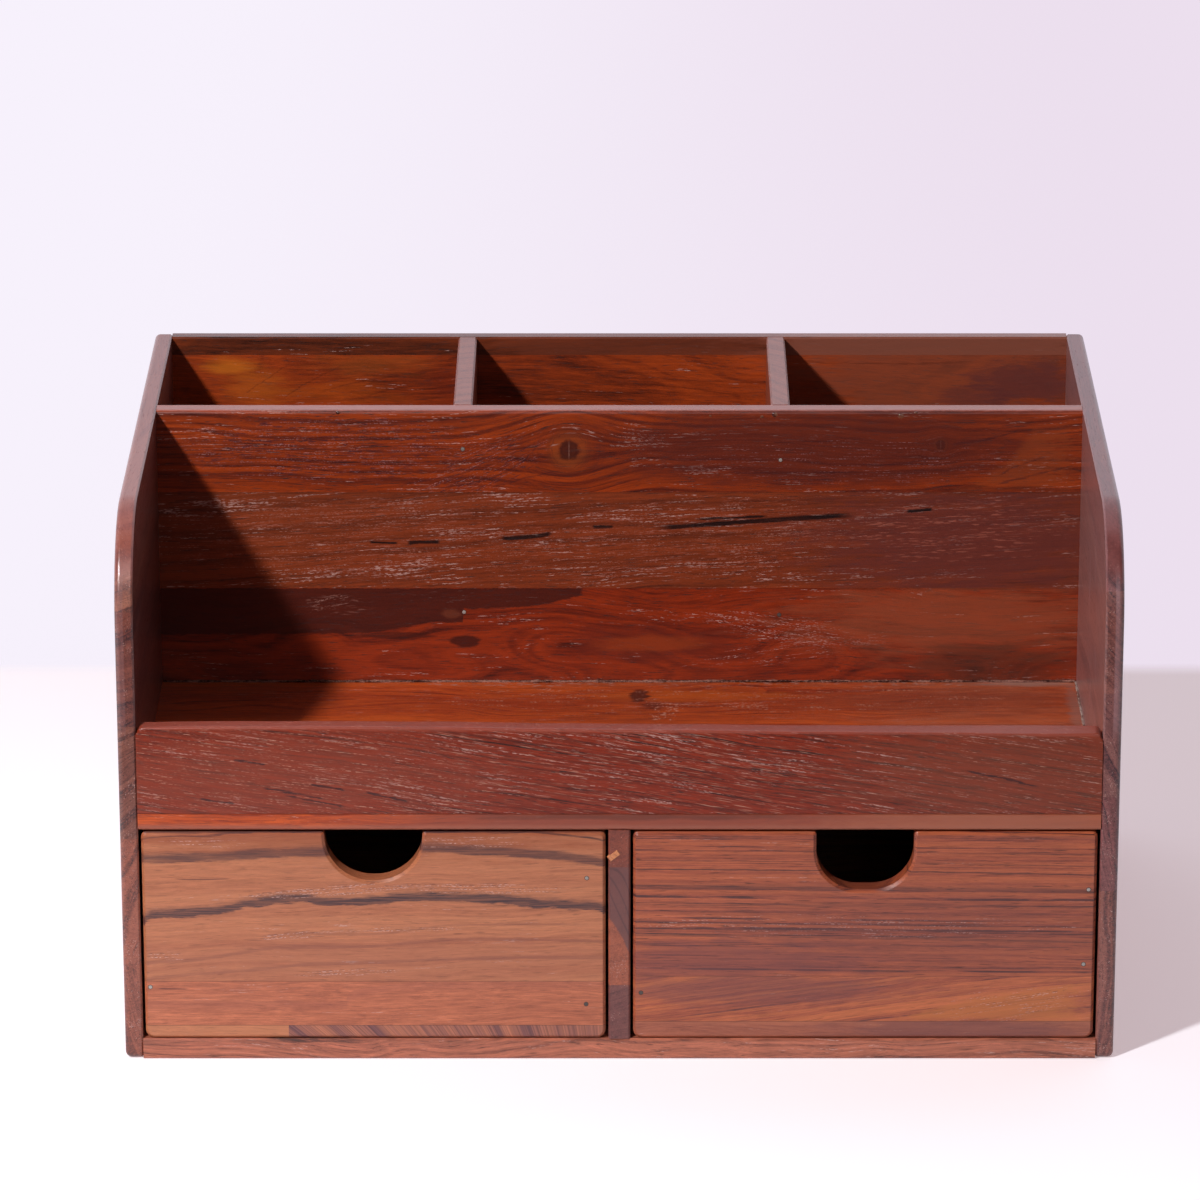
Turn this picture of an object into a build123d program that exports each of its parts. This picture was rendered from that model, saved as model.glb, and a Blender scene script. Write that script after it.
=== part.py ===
from build123d import *
import os
from dataclasses import dataclass
from functools import lru_cache

# A desktop drawer organizer of edge-glued hardwood strips, nailed with brads. Millimetres.
# The front faces -Y, +X is to the right, and the underside rests on Z = 0.

# Case, outside
case_width = 381.0
case_depth = 254.0
case_height = 216.0

# Side panels: a large round at the upper front corner and small ones at the other corners
side_thickness = 7.0
front_corner_radius = 40.0
rear_corner_radius = 5.0
foot_corner_radius = 3.2
rim_round = 2.2
inner_ease = 0.7

# Boards between the side panels
bottom_thickness = 8.4
bay_height = 86.2
shelf_thickness = 6.7
post_thickness = 8.4
back_thickness = 7.0
lip_height = 34.0
lip_fall = 2.6
lip_thickness = 7.4
lip_corner_radius = 3.0
tray_depth = 140.0
tray_wall_thickness = 8.0
partition_thickness = 7.5
left_partition_shift = -1.0
right_partition_shift = 2.8
top_drop = 0.5
board_round = 1.6
edge_ease = 0.7

# Drawers: the running clearance is on each side of the front, the lift is under it
drawer_gap = 1.1
drawer_lift = 0.3
drawer_headroom = 1.0
drawer_tail_gap = 4.0
front_thickness = 8.0
front_top_radius = 2.0
front_bottom_radius = 3.4
front_ease = 1.1
drawer_wall_thickness = 8.0
drawer_wall_inset = 0.6
drawer_wall_drop = 6.0
drawer_bottom_thickness = 4.0
drawer_bottom_lift = 1.0
notch_width = 37.4
notch_mouth_round = 1.4

# Widths of the glued strips, stretched alike to fill their board
left_side_strips = (39.5, 51.5, 45.5, 45.8, 33.7)
right_side_strips = (69.7, 38.4, 41.9, 40.0, 26.0)
post_strips = (22.4, 48.7, 15.2)
tray_wall_strips = (39.9, 40.4, 34.0)
back_strips = (38.0, 42.0, 43.0, 43.0, 42.0, 7.6)
partition_strips = (27.2, 64.4)

# Brads: a flat head flush with the wood, a slim shank and a tapered point. Their few flat sides
# stand for round wire.
brad_length = 20.0
brad_diameter = 1.4
brad_head_diameter = 2.0
brad_head_height = 0.7
brad_point = 2.2
brad_tip_share = 0.2
brad_sides = 6
brad_clearance = 0.02
brad_inset = 42.0

# Brads in the tray back wall, as shares of the height of the partition behind it
left_partition_brads = (0.26, 0.86)
right_partition_brads = (0.25, 0.82)

# Places worked out from the sizes above
front_y = -case_depth / 2
rear_y = case_depth / 2
outer_x = case_width / 2
inner_x = outer_x - side_thickness
bay_floor = bottom_thickness
bay_top = bay_floor + bay_height
shelf_top = bay_top + shelf_thickness
board_top = case_height - top_drop
back_front_y = rear_y - back_thickness
tray_wall_y = front_y + lip_thickness + tray_depth
tray_wall_rear_y = tray_wall_y + tray_wall_thickness
left_partition_x = -inner_x / 3 + left_partition_shift
right_partition_x = inner_x / 3 + right_partition_shift
slab_margin = 5.0


@lru_cache
def brad_shape(grow):
    """A brad that points down from the origin, its sides and its ends further out by grow."""
    neck = brad_head_height + grow
    shoulder = brad_length - brad_point
    tip = brad_length + grow
    head = RegularPolygon(brad_head_diameter / 2 + grow, brad_sides)
    shank = RegularPolygon(brad_diameter / 2 + grow, brad_sides)
    point = scale(shank, by=brad_tip_share)
    solid = extrude(head, -neck) + extrude(Pos(0, 0, -neck) * shank, neck - shoulder)
    return solid + loft([Pos(0, 0, -shoulder) * shank, Pos(0, 0, -tip) * point], ruled=True)


@dataclass(frozen=True)
class Brad:
    """One brad, given by the middle of its head's face and the direction it was driven in."""

    at: tuple
    drive: tuple

    def placed(self, grow):
        back = tuple(-step for step in self.drive)
        return Plane(origin=self.at, z_dir=back) * brad_shape(grow)

    def pin(self):
        return self.placed(0.0)

    def hole(self):
        return self.placed(brad_clearance)


def block(x, y, z):
    """A box between the two ends given for each axis."""
    size = Box(x[1] - x[0], y[1] - y[0], z[1] - z[0], align=(Align.MIN, Align.MIN, Align.MIN))
    return Pos(x[0], y[0], z[0]) * size


def long_edges(solid, along, axis, place):
    """Straight edges of a solid that run along one axis at one place on another."""
    return solid.edges().filter_by(along).filter_by_position(axis, place - 0.01, place + 0.01)


def round_corner(face, x, y, radius):
    """A flat face with its corner nearest to the point x, y rounded."""
    corner = min(face.vertices(), key=lambda v: (v.X - x) ** 2 + (v.Y - y) ** 2)
    return fillet(corner, radius)


def drilled(board, brads):
    """The board with a hole for each brad that reaches it."""
    box = board.bounding_box()
    holes = [brad.hole() for brad in brads]
    return board - [hole for hole in holes if box.overlaps(hole.bounding_box())]


def seams(start, end, widths):
    """Pairs of ends of the glued strips that fill a board from start to end."""
    scale = (end - start) / sum(widths)
    places = [start]
    for width in widths:
        places.append(places[-1] + width * scale)
    return list(zip(places[:-1], places[1:]))


def ripped(board, widths, axis):
    """The board as its glued strips, in order along Y or Z."""
    box = board.bounding_box()
    low, high = tuple(box.min), tuple(box.max)
    strips = []
    ends = seams(low[axis], high[axis], widths)
    for place, (start, end) in enumerate(ends):
        reach = [(low[i] - slab_margin, high[i] + slab_margin) for i in range(3)]
        first = start - slab_margin if place == 0 else start
        last = end + slab_margin if place == len(ends) - 1 else end
        reach[axis] = (first, last)
        strips.append(board & block(*reach))
    return strips


def spread(start, end, inset):
    """Two places on a board, each the inset from its end, or a third of a short board."""
    inset = min(inset, (end - start) / 3)
    return start + inset, end - inset


def side_panel(side):
    """One side panel before ripping: side is -1 for the left and 1 for the right."""
    outline = Pos(0, case_height / 2) * Rectangle(case_depth, case_height)
    outline = round_corner(outline, front_y, case_height, front_corner_radius)
    outline = round_corner(outline, rear_y, case_height, rear_corner_radius)
    outline = round_corner(outline, front_y, 0, foot_corner_radius)
    outline = round_corner(outline, rear_y, 0, foot_corner_radius)
    panel = Pos(-outer_x, 0, 0) * extrude(Plane.YZ * outline, side_thickness)
    panel = fillet(panel.faces().sort_by(Axis.X)[0].edges(), min(rim_round, side_thickness * 0.45))
    panel = chamfer(panel.faces().sort_by(Axis.X)[-1].edges(), min(inner_ease, side_thickness * 0.3))
    return panel if side < 0 else mirror(panel, about=Plane.YZ)


def side_brads(side):
    """Brads through a side panel into the ends of the boards between the panels."""
    x = side * outer_x
    drive = (-side, 0, 0)
    shelf_z = (bay_top + shelf_top) / 2
    wall_y = (tray_wall_y + tray_wall_rear_y) / 2
    back_y = (back_front_y + rear_y) / 2
    places = [(front_y + lip_thickness / 2, shelf_top + lip_height / 2)]
    places += [(y, shelf_z) for y in spread(front_y, rear_y, brad_inset)]
    places += [(y, bottom_thickness / 2) for y in spread(front_y, rear_y, brad_inset)]
    places += [(wall_y, z) for z in spread(shelf_top, board_top, brad_inset)]
    places += [(back_y, z) for z in spread(0, board_top, brad_inset)]
    return [Brad((x, y, z), drive) for y, z in places]


def tray_wall_brads():
    """Brads through the tray back wall into the front ends of the partitions."""
    rise = board_top - shelf_top
    places = [(left_partition_x, share) for share in left_partition_brads]
    places += [(right_partition_x, share) for share in right_partition_brads]
    return [Brad((x, tray_wall_y, shelf_top + share * rise), (0, 1, 0)) for x, share in places]


def back_brads():
    """Brads through the back panel into the boards that end against it."""
    middle_z = (shelf_top + board_top) / 2
    places = [(x, bottom_thickness / 2) for x in spread(-inner_x, inner_x, 2 * brad_inset)]
    places += [(x, (bay_top + shelf_top) / 2) for x in spread(-inner_x, inner_x, 2 * brad_inset)]
    places += [(left_partition_x, middle_z), (right_partition_x, middle_z)]
    places += [(0, (bay_floor + bay_top) / 2)]
    return [Brad((x, rear_y, z), (0, -1, 0)) for x, z in places]


def bottom_brads():
    """Brads up through the bottom board into the centre post."""
    return [Brad((0, y, 0), (0, 0, 1)) for y in spread(front_y, rear_y, brad_inset)]


def bottom_board():
    board = block((-inner_x, inner_x), (front_y, back_front_y), (0, bottom_thickness))
    return chamfer(long_edges(board, Axis.X, Axis.Y, front_y), edge_ease)


def shelf_board():
    board = block((-inner_x, inner_x), (front_y, back_front_y), (bay_top, shelf_top))
    return chamfer(long_edges(board, Axis.X, Axis.Y, front_y), edge_ease)


def centre_post():
    half = post_thickness / 2
    board = block((-half, half), (front_y, back_front_y), (bay_floor, bay_top))
    return chamfer(long_edges(board, Axis.Z, Axis.Y, front_y), edge_ease)


def tray_lip():
    """The lip along the tray's front: hand-planed, so its top falls a little from left to right."""
    left_top, right_top = (shelf_top + lip_height + share * lip_fall for share in (0.5, -0.5))
    corners = [(-inner_x, shelf_top), (inner_x, shelf_top), (inner_x, right_top), (-inner_x, left_top)]
    outline = make_face(Polyline(*corners, close=True))
    outline = round_corner(outline, -inner_x, left_top, lip_corner_radius)
    outline = round_corner(outline, inner_x, right_top, lip_corner_radius)
    board = Pos(0, front_y, 0) * extrude(Plane.XZ * outline, -lip_thickness)
    front = board.faces().sort_by(Axis.Y)[0].edges()
    rounded = [edge for edge in front if edge.center().Z > shelf_top + 0.01]
    board = fillet(rounded, min(board_round, lip_corner_radius * 0.9))
    rear = board.faces().sort_by(Axis.Y)[-1].edges()
    upper = [edge for edge in rear if edge.center().Z > shelf_top + lip_height / 2]
    return chamfer(max(upper, key=lambda edge: edge.length), edge_ease)


def tray_back_wall():
    board = block((-inner_x, inner_x), (tray_wall_y, tray_wall_rear_y), (shelf_top, board_top))
    board = fillet(long_edges(board, Axis.X, Axis.Y, tray_wall_y).sort_by(Axis.Z)[-1], board_round)
    return chamfer(long_edges(board, Axis.X, Axis.Y, tray_wall_rear_y).sort_by(Axis.Z)[-1], edge_ease)


def back_panel():
    board = block((-inner_x, inner_x), (back_front_y, rear_y), (0, board_top))
    board = fillet(long_edges(board, Axis.X, Axis.Y, rear_y), board_round)
    return chamfer(long_edges(board, Axis.X, Axis.Y, back_front_y).sort_by(Axis.Z)[-1], edge_ease)


def partition(x):
    half = partition_thickness / 2
    board = block((x - half, x + half), (tray_wall_rear_y, back_front_y), (shelf_top, board_top))
    return chamfer(long_edges(board, Axis.Y, Axis.Z, board_top), edge_ease)


@dataclass(frozen=True)
class Drawer:
    """One drawer. Its front brads are given by the wall they enter, -1 left or 1 right, the offset
    from that wall's middle as a share of its thickness, and the share of its height."""

    name: str
    side: int
    notch_depth: float
    notch_corner: float
    front_strips: tuple
    front_brads: tuple

    def ends(self):
        """Left and right ends of the front."""
        near, far = post_thickness / 2 + drawer_gap, inner_x - drawer_gap
        return (near, far) if self.side > 0 else (-far, -near)

    def low(self):
        return bay_floor + drawer_lift

    def high(self):
        return bay_top - drawer_headroom

    def wall_high(self):
        return self.high() - drawer_wall_drop

    def front_rear_y(self):
        return front_y + front_thickness

    def tail_y(self):
        return back_front_y - drawer_tail_gap

    def wall_ends(self, wall):
        """Outer and inner face of the left wall (-1) or the right wall (1), in order along X."""
        left, right = self.ends()
        if wall < 0:
            outer = left + drawer_wall_inset
            return outer, outer + drawer_wall_thickness
        outer = right - drawer_wall_inset
        return outer - drawer_wall_thickness, outer

    def front(self):
        """The front board: rounded corners, a finger notch in the top edge, eased edges."""
        left, right = self.ends()
        low, high = self.low(), self.high()
        middle = (left + right) / 2
        outline = Pos(middle, (low + high) / 2) * Rectangle(right - left, high - low)
        for x in (left, right):
            outline = round_corner(outline, x, high, front_top_radius)
            outline = round_corner(outline, x, low, front_bottom_radius)
        floor = high - self.notch_depth
        notch = Pos(middle, floor + self.notch_depth) * Rectangle(notch_width, 2 * self.notch_depth)
        notch_corner = min(self.notch_corner, notch_width * 0.49)
        mouth_round = min(notch_mouth_round, (self.notch_depth - notch_corner) * 0.9)
        for x in (middle - notch_width / 2, middle + notch_width / 2):
            notch = round_corner(notch, x, floor, notch_corner)
        outline = outline - notch
        for x in (middle - notch_width / 2, middle + notch_width / 2):
            outline = round_corner(outline, x, high, mouth_round)
        board = Pos(0, front_y, 0) * extrude(Plane.XZ * outline, -front_thickness)
        return chamfer(board.faces().sort_by(Axis.Y)[0].edges(), front_ease)

    def wall(self, wall):
        along = (self.front_rear_y(), self.tail_y())
        return block(self.wall_ends(wall), along, (self.low(), self.wall_high()))

    def back(self):
        across = (self.wall_ends(-1)[1], self.wall_ends(1)[0])
        along = (self.tail_y() - drawer_wall_thickness, self.tail_y())
        return block(across, along, (self.low(), self.wall_high()))

    def bottom(self):
        across = (self.wall_ends(-1)[1], self.wall_ends(1)[0])
        along = (self.front_rear_y(), self.tail_y() - drawer_wall_thickness)
        floor = self.low() + drawer_bottom_lift
        return block(across, along, (floor, floor + drawer_bottom_thickness))

    def brads(self):
        """Brads through the front into the walls, and through the walls into the back."""
        found = []
        rise = self.wall_high() - self.low()
        for wall, across, up in self.front_brads:
            x = sum(self.wall_ends(wall)) / 2 + across * drawer_wall_thickness
            found.append(Brad((x, front_y, self.low() + up * rise), (0, 1, 0)))
        y = self.tail_y() - drawer_wall_thickness / 2
        for wall in (-1, 1):
            x = self.wall_ends(wall)[0 if wall < 0 else 1]
            for z in spread(self.low(), self.wall_high(), brad_inset):
                found.append(Brad((x, y, z), (-wall, 0, 0)))
        return found

    def nodes(self):
        """Every piece of the drawer under its name."""
        brads = self.brads()
        pieces = {}
        for number, strip in enumerate(ripped(drilled(self.front(), brads), self.front_strips, 2), 1):
            pieces[f"{self.name}_front_strip_{number}"] = strip
        pieces[f"{self.name}_left_wall"] = drilled(self.wall(-1), brads)
        pieces[f"{self.name}_right_wall"] = drilled(self.wall(1), brads)
        pieces[f"{self.name}_back_wall"] = drilled(self.back(), brads)
        pieces[f"{self.name}_bottom"] = self.bottom()
        pieces[f"{self.name}_brads"] = Compound([brad.pin().solid() for brad in brads])
        return pieces


left_drawer = Drawer(
    name="left_drawer",
    side=-1,
    notch_depth=19.9,
    notch_corner=18.2,
    front_strips=(5.4, 18.3, 61.3),
    front_brads=((-1, -0.3, 0.27), (1, -0.36, 0.18), (1, -0.32, 0.84)),
)
right_drawer = Drawer(
    name="right_drawer",
    side=1,
    notch_depth=23.6,
    notch_corner=16.0,
    front_strips=(7.0, 18.8, 59.2),
    front_brads=((-1, -0.2, 0.24), (1, 0.04, 0.39), (1, 0.2, 0.78)),
)


def case_nodes():
    """Every piece of the case under its name."""
    groups = {
        "left_side_brads": side_brads(-1),
        "right_side_brads": side_brads(1),
        "tray_wall_brads": tray_wall_brads(),
        "back_panel_brads": back_brads(),
        "bottom_board_brads": bottom_brads(),
    }
    brads = [brad for group in groups.values() for brad in group]
    boards = {
        "left_side": (side_panel(-1), left_side_strips, 2),
        "right_side": (side_panel(1), right_side_strips, 2),
        "centre_post": (centre_post(), post_strips, 2),
        "tray_back_wall": (tray_back_wall(), tray_wall_strips, 2),
        "back_panel": (back_panel(), back_strips, 2),
        "left_partition": (partition(left_partition_x), partition_strips, 1),
        "right_partition": (partition(right_partition_x), partition_strips, 1),
    }
    pieces = {
        "bottom_board": drilled(bottom_board(), brads),
        "shelf_board": drilled(shelf_board(), brads),
        "tray_front_lip": drilled(tray_lip(), brads),
    }
    for name, (board, widths, axis) in boards.items():
        for number, strip in enumerate(ripped(drilled(board, brads), widths, axis), 1):
            pieces[f"{name}_strip_{number}"] = strip
    for name, group in groups.items():
        pieces[name] = Compound([brad.pin().solid() for brad in group])
    return pieces


os.makedirs("parts", exist_ok=True)
for node, piece in {**case_nodes(), **left_drawer.nodes(), **right_drawer.nodes()}.items():
    piece.label = node
    export_step(piece, f"parts/{node}.step")
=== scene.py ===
import logging
import math
from dataclasses import dataclass
from enum import Enum

import bpy
import numpy as np
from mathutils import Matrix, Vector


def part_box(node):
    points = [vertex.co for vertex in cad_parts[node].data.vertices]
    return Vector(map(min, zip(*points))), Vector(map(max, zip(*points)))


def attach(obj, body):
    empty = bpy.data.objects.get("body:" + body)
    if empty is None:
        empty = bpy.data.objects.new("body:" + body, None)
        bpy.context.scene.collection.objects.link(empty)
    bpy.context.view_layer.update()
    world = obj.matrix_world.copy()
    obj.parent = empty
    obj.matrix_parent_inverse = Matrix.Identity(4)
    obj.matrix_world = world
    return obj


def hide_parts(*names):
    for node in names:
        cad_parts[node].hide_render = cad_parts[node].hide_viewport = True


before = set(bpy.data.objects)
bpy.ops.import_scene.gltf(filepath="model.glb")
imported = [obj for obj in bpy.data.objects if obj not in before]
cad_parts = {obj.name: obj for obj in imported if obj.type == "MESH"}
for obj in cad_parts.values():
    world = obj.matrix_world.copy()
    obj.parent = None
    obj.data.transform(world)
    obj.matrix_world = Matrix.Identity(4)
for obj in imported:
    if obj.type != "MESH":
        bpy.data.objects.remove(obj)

LOG = logging.getLogger("organizer")
MM = 0.001
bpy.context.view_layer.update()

Tree = bpy.types.NodeTree
Node = bpy.types.Node
Socket = bpy.types.NodeSocket
Pair = tuple[float, float]
Triple = tuple[float, float, float]
Line = tuple[Pair, ...]
MODES = {"MapRange": "interpolation_type", "TexNoise": "noise_dimensions"}

# Nearly all of a noise lies between these two values, and half of it below the middle
SPAN = (0.25, 0.75)


class Grain(Enum):
    """Which way a board's fibres run: its axes along the grain, across the face and through it."""

    ACROSS = (0, 2, 1)
    DEEP = (1, 2, 0)
    UPRIGHT = (2, 1, 0)


class Face(Enum):
    """Which of a board's faces a feature is drawn on: its axes among along, across and through."""

    BROAD = (0, 1, 2)
    END = (2, 1, 0)
    TOP = (0, 2, 1)


def linear(colour: str) -> tuple[float, float, float, float]:
    """Turns an sRGB hex colour into linear light.

    Args:
        colour: A colour such as "#a05030".

    Returns:
        Red, green, blue and one, with c / 12.92 below 0.04045 and ((c + 0.055) / 1.055) ** 2.4 above.
    """
    parts = [int(colour[i:i + 2], 16) / 255 for i in (1, 3, 5)]
    red, green, blue = (c / 12.92 if c <= 0.04045 else ((c + 0.055) / 1.055) ** 2.4 for c in parts)
    return red, green, blue, 1.0


def add(tree: Tree, kind: str, *values: object, **named: object) -> Node:
    """Adds one shader node with its settings and links.

    Args:
        tree: The node tree that takes it.
        kind: The node's kind, without the leading ShaderNode, and its mode after a space.
        values: What goes into its first inputs, in order; a text is a colour.
        named: Settings by name, or inputs by name with an underscore for each space.

    Returns:
        The node.
    """
    kind, _, mode = kind.partition(" ")
    made = tree.nodes.new(f"ShaderNode{kind}")
    if mode:
        setattr(made, MODES.get(kind, "operation"), mode)
    wanted = dict(enumerate(values))
    for name, value in named.items():
        if hasattr(made, name):
            setattr(made, name, value)
        else:
            wanted[name.replace("_", " ")] = value
    for name, value in wanted.items():
        if isinstance(value, str):
            value = linear(value)
        if isinstance(value, Node):
            value = value.outputs[0]
        if isinstance(value, Socket):
            tree.links.new(value, made.inputs[name])
        else:
            made.inputs[name].default_value = value
    return made


def mottled(tree: Tree, place: Node, repeats: Triple, detail: float = 3.0, rough: float = 0.6) -> Node:
    """Adds noise of the given repeats per millimetre along, across and through a board."""
    return add(tree, "TexNoise", add(tree, "VectorMath MULTIPLY", place, repeats), Scale=1.0, Detail=detail,
               Roughness=rough)


def start_finish(name: str) -> tuple[bpy.types.Material, Tree, Node]:
    """Starts a material.

    Args:
        name: Its name.

    Returns:
        An empty material, its nodes, and the node that gives the place on the piece in millimetres.
    """
    material = bpy.data.materials.new(name)
    material.use_nodes = True
    tree = material.node_tree
    tree.nodes.clear()
    place = add(tree, "TexCoord").outputs["Object"]
    return material, tree, add(tree, "VectorMath SCALE", place, Scale=1 / MM)


class FigureGroup:
    """Teak's figure as one shared node group: growth bands round a pith line, fibres, pores.

    Each of its noises is given by its repeats per millimetre along, across and through the board.
    """

    PITH_WANDER = (0.009, 0.02, 0.02)
    FIBRE = (0.05, 0.9, 0.9)
    MOTTLE = (0.012, 0.11, 0.11)
    LINE_GAPS = (0.03, 0.25, 0.25)
    CHALK_DRIFTS = (0.02, 0.14, 0.14)
    CHALK_ROWS = (0.045, 1.5, 1.5)
    CHALK_DOTS = (0.55, 2.6, 2.6)
    PORES = (0.11, 2.1, 2.1)
    FINE_LINES = 0.75
    PORE_DARK = "#2b1410"
    PORE_CHALK = "#d2a79c"

    def __init__(self) -> None:
        """Makes the group with its sockets and its nodes."""
        self.tree = bpy.data.node_groups.new("teak_figure", "ShaderNodeTree")
        self.declare()
        self.build()

    def declare(self) -> None:
        """Names the group's sockets: what one board sets, and what its varnish reads."""
        sockets = {"Vector": "Vector INPUT", "Light": "Color INPUT", "Mid": "Color INPUT",
                   "Dark": "Color INPUT", "Color": "Color OUTPUT", "Height": "Float OUTPUT",
                   "Pore": "Float OUTPUT"}
        amounts = ("Band", "Depth", "Line", "Pores", "Chalk", "Wander")
        sockets.update({name: "Float INPUT" for name in amounts})
        for name, text in sockets.items():
            kind, side = text.split()
            self.tree.interface.new_socket(name, in_out=side, socket_type=f"NodeSocket{kind}")

    def build(self) -> None:
        """Lays out the figure.

        The distance from the pith line is the length of (across, through) after a slow wander along
        the grain. A one-dimensional noise of that distance gives uneven bands, a finer one the thin
        late-wood lines. Fibres, pores and the rows of chalked pores are noise stretched along it, and
        the fibres break up the bands and lines.
        """
        tree = self.tree
        given = tree.nodes.new("NodeGroupInput").outputs
        vector = given["Vector"]
        wander = mottled(tree, vector, self.PITH_WANDER, 2.0, 0.5)
        shift = add(tree, "VectorMath SUBTRACT", wander.outputs["Color"], (0.5, 0.5, 0.5))
        shift = add(tree, "VectorMath MULTIPLY", shift, (0.0, 2.0, 2.0))
        shift = add(tree, "VectorMath SCALE", shift, Scale=given["Wander"])
        moved = add(tree, "VectorMath ADD", vector, shift)
        flat = add(tree, "VectorMath MULTIPLY", moved, (0.0, 1.0, 1.0))
        distance = add(tree, "VectorMath LENGTH", flat).outputs["Value"]

        banded = add(tree, "Math DIVIDE", distance, given["Band"])
        bands = add(tree, "TexNoise 1D", W=banded, Detail=4.0, Scale=1.0, Roughness=0.62)
        bands = add(tree, "MapRange SMOOTHSTEP", bands, 0.36, 0.68)
        fibre = mottled(tree, moved, self.FIBRE, 6.0, 0.85)
        broken = add(tree, "MapRange", fibre, 0.34, 0.66, 0.45, 1.4)
        bands = add(tree, "Math MULTIPLY", bands, broken)
        mottle = add(tree, "Math SUBTRACT", mottled(tree, moved, self.MOTTLE), 0.5)
        amount = add(tree, "Math MULTIPLY_ADD", mottle, 0.55, bands)
        amount = add(tree, "Math MULTIPLY", amount, given["Depth"])

        lined = add(tree, "TexNoise 1D", W=add(tree, "Math MULTIPLY", distance, self.FINE_LINES), Detail=2.0,
                    Scale=1.0, Roughness=0.7)
        lines = add(tree, "MapRange SMOOTHSTEP", lined, 0.55, 0.66)
        kept = add(tree, "MapRange", mottled(tree, moved, self.LINE_GAPS, 2.0), 0.4, 0.6)
        lines = add(tree, "Math MULTIPLY", lines, add(tree, "Math MULTIPLY", kept, broken))
        lines = add(tree, "Math MULTIPLY", lines, given["Line"])
        amount = add(tree, "Math ADD", amount, lines, use_clamp=True)

        colour = add(tree, "MixRGB", add(tree, "MapRange", amount, 0.0, 0.5), given["Light"], given["Mid"])
        colour = add(tree, "MixRGB", add(tree, "MapRange", amount, 0.5, 1.0), colour, given["Dark"])
        tone = add(tree, "MapRange", fibre, 0.32, 0.68, 0.42, -0.42)
        tone = add(tree, "Math MULTIPLY_ADD", tone, given["Depth"], 1.0)
        colour = add(tree, "VectorMath SCALE", colour, Scale=tone)

        patch = mottled(tree, moved, self.CHALK_DRIFTS)
        patch = add(tree, "MapRange", patch, 0.35, 0.68, -0.10, 0.13)
        rows = add(tree, "Math ADD", mottled(tree, moved, self.CHALK_ROWS, 2.0), patch)
        dots = add(tree, "MapRange", mottled(tree, moved, self.CHALK_DOTS, 1.0), 0.46, 0.60)
        chalk_from = add(tree, "MapRange", given["Chalk"], 0.0, 1.0, 0.78, 0.46)
        chalk = add(tree, "Math SUBTRACT", rows, chalk_from)
        chalk = add(tree, "MapRange", chalk, 0.0, 0.06)
        chalk = add(tree, "Math MULTIPLY", chalk, dots)
        grooves = mottled(tree, moved, self.PORES, 2.0)
        grooves = add(tree, "MapRange", grooves, 0.60, 0.70, 0.0, given["Pores"])
        colour = add(tree, "MixRGB", grooves, colour, self.PORE_DARK)
        colour = add(tree, "MixRGB", add(tree, "Math MULTIPLY", chalk, 0.62), colour, self.PORE_CHALK)
        pore = add(tree, "Math MAXIMUM", chalk, grooves)
        height = add(tree, "Math MULTIPLY_ADD", pore, -0.6, add(tree, "Math MULTIPLY", fibre, 0.5))
        out = tree.nodes.new("NodeGroupOutput").inputs
        for name, made in (("Color", colour), ("Height", height), ("Pore", pore)):
            tree.links.new(made.outputs[0], out[name])


@dataclass(frozen=True, kw_only=True)
class Feature:
    """Something that one board shows on top of its figure, in millimetres over one of its faces."""

    face: Face = Face.BROAD

    def bend(self, tree: Tree, board: Node) -> Node:
        """Returns the board's coordinates as they are: most features leave the grain straight."""
        return board

    def cover(self, tree: Tree, board: Node) -> Node:
        """Returns how much of the wood the feature hides, from zero to its strength."""
        raise NotImplementedError

    def lay(self, tree: Tree, board: Node, colour: Socket) -> Node:
        """Returns the colour with the feature's own shade over it."""
        return add(tree, "MixRGB", self.cover(tree, board), colour, self.shade)


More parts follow.
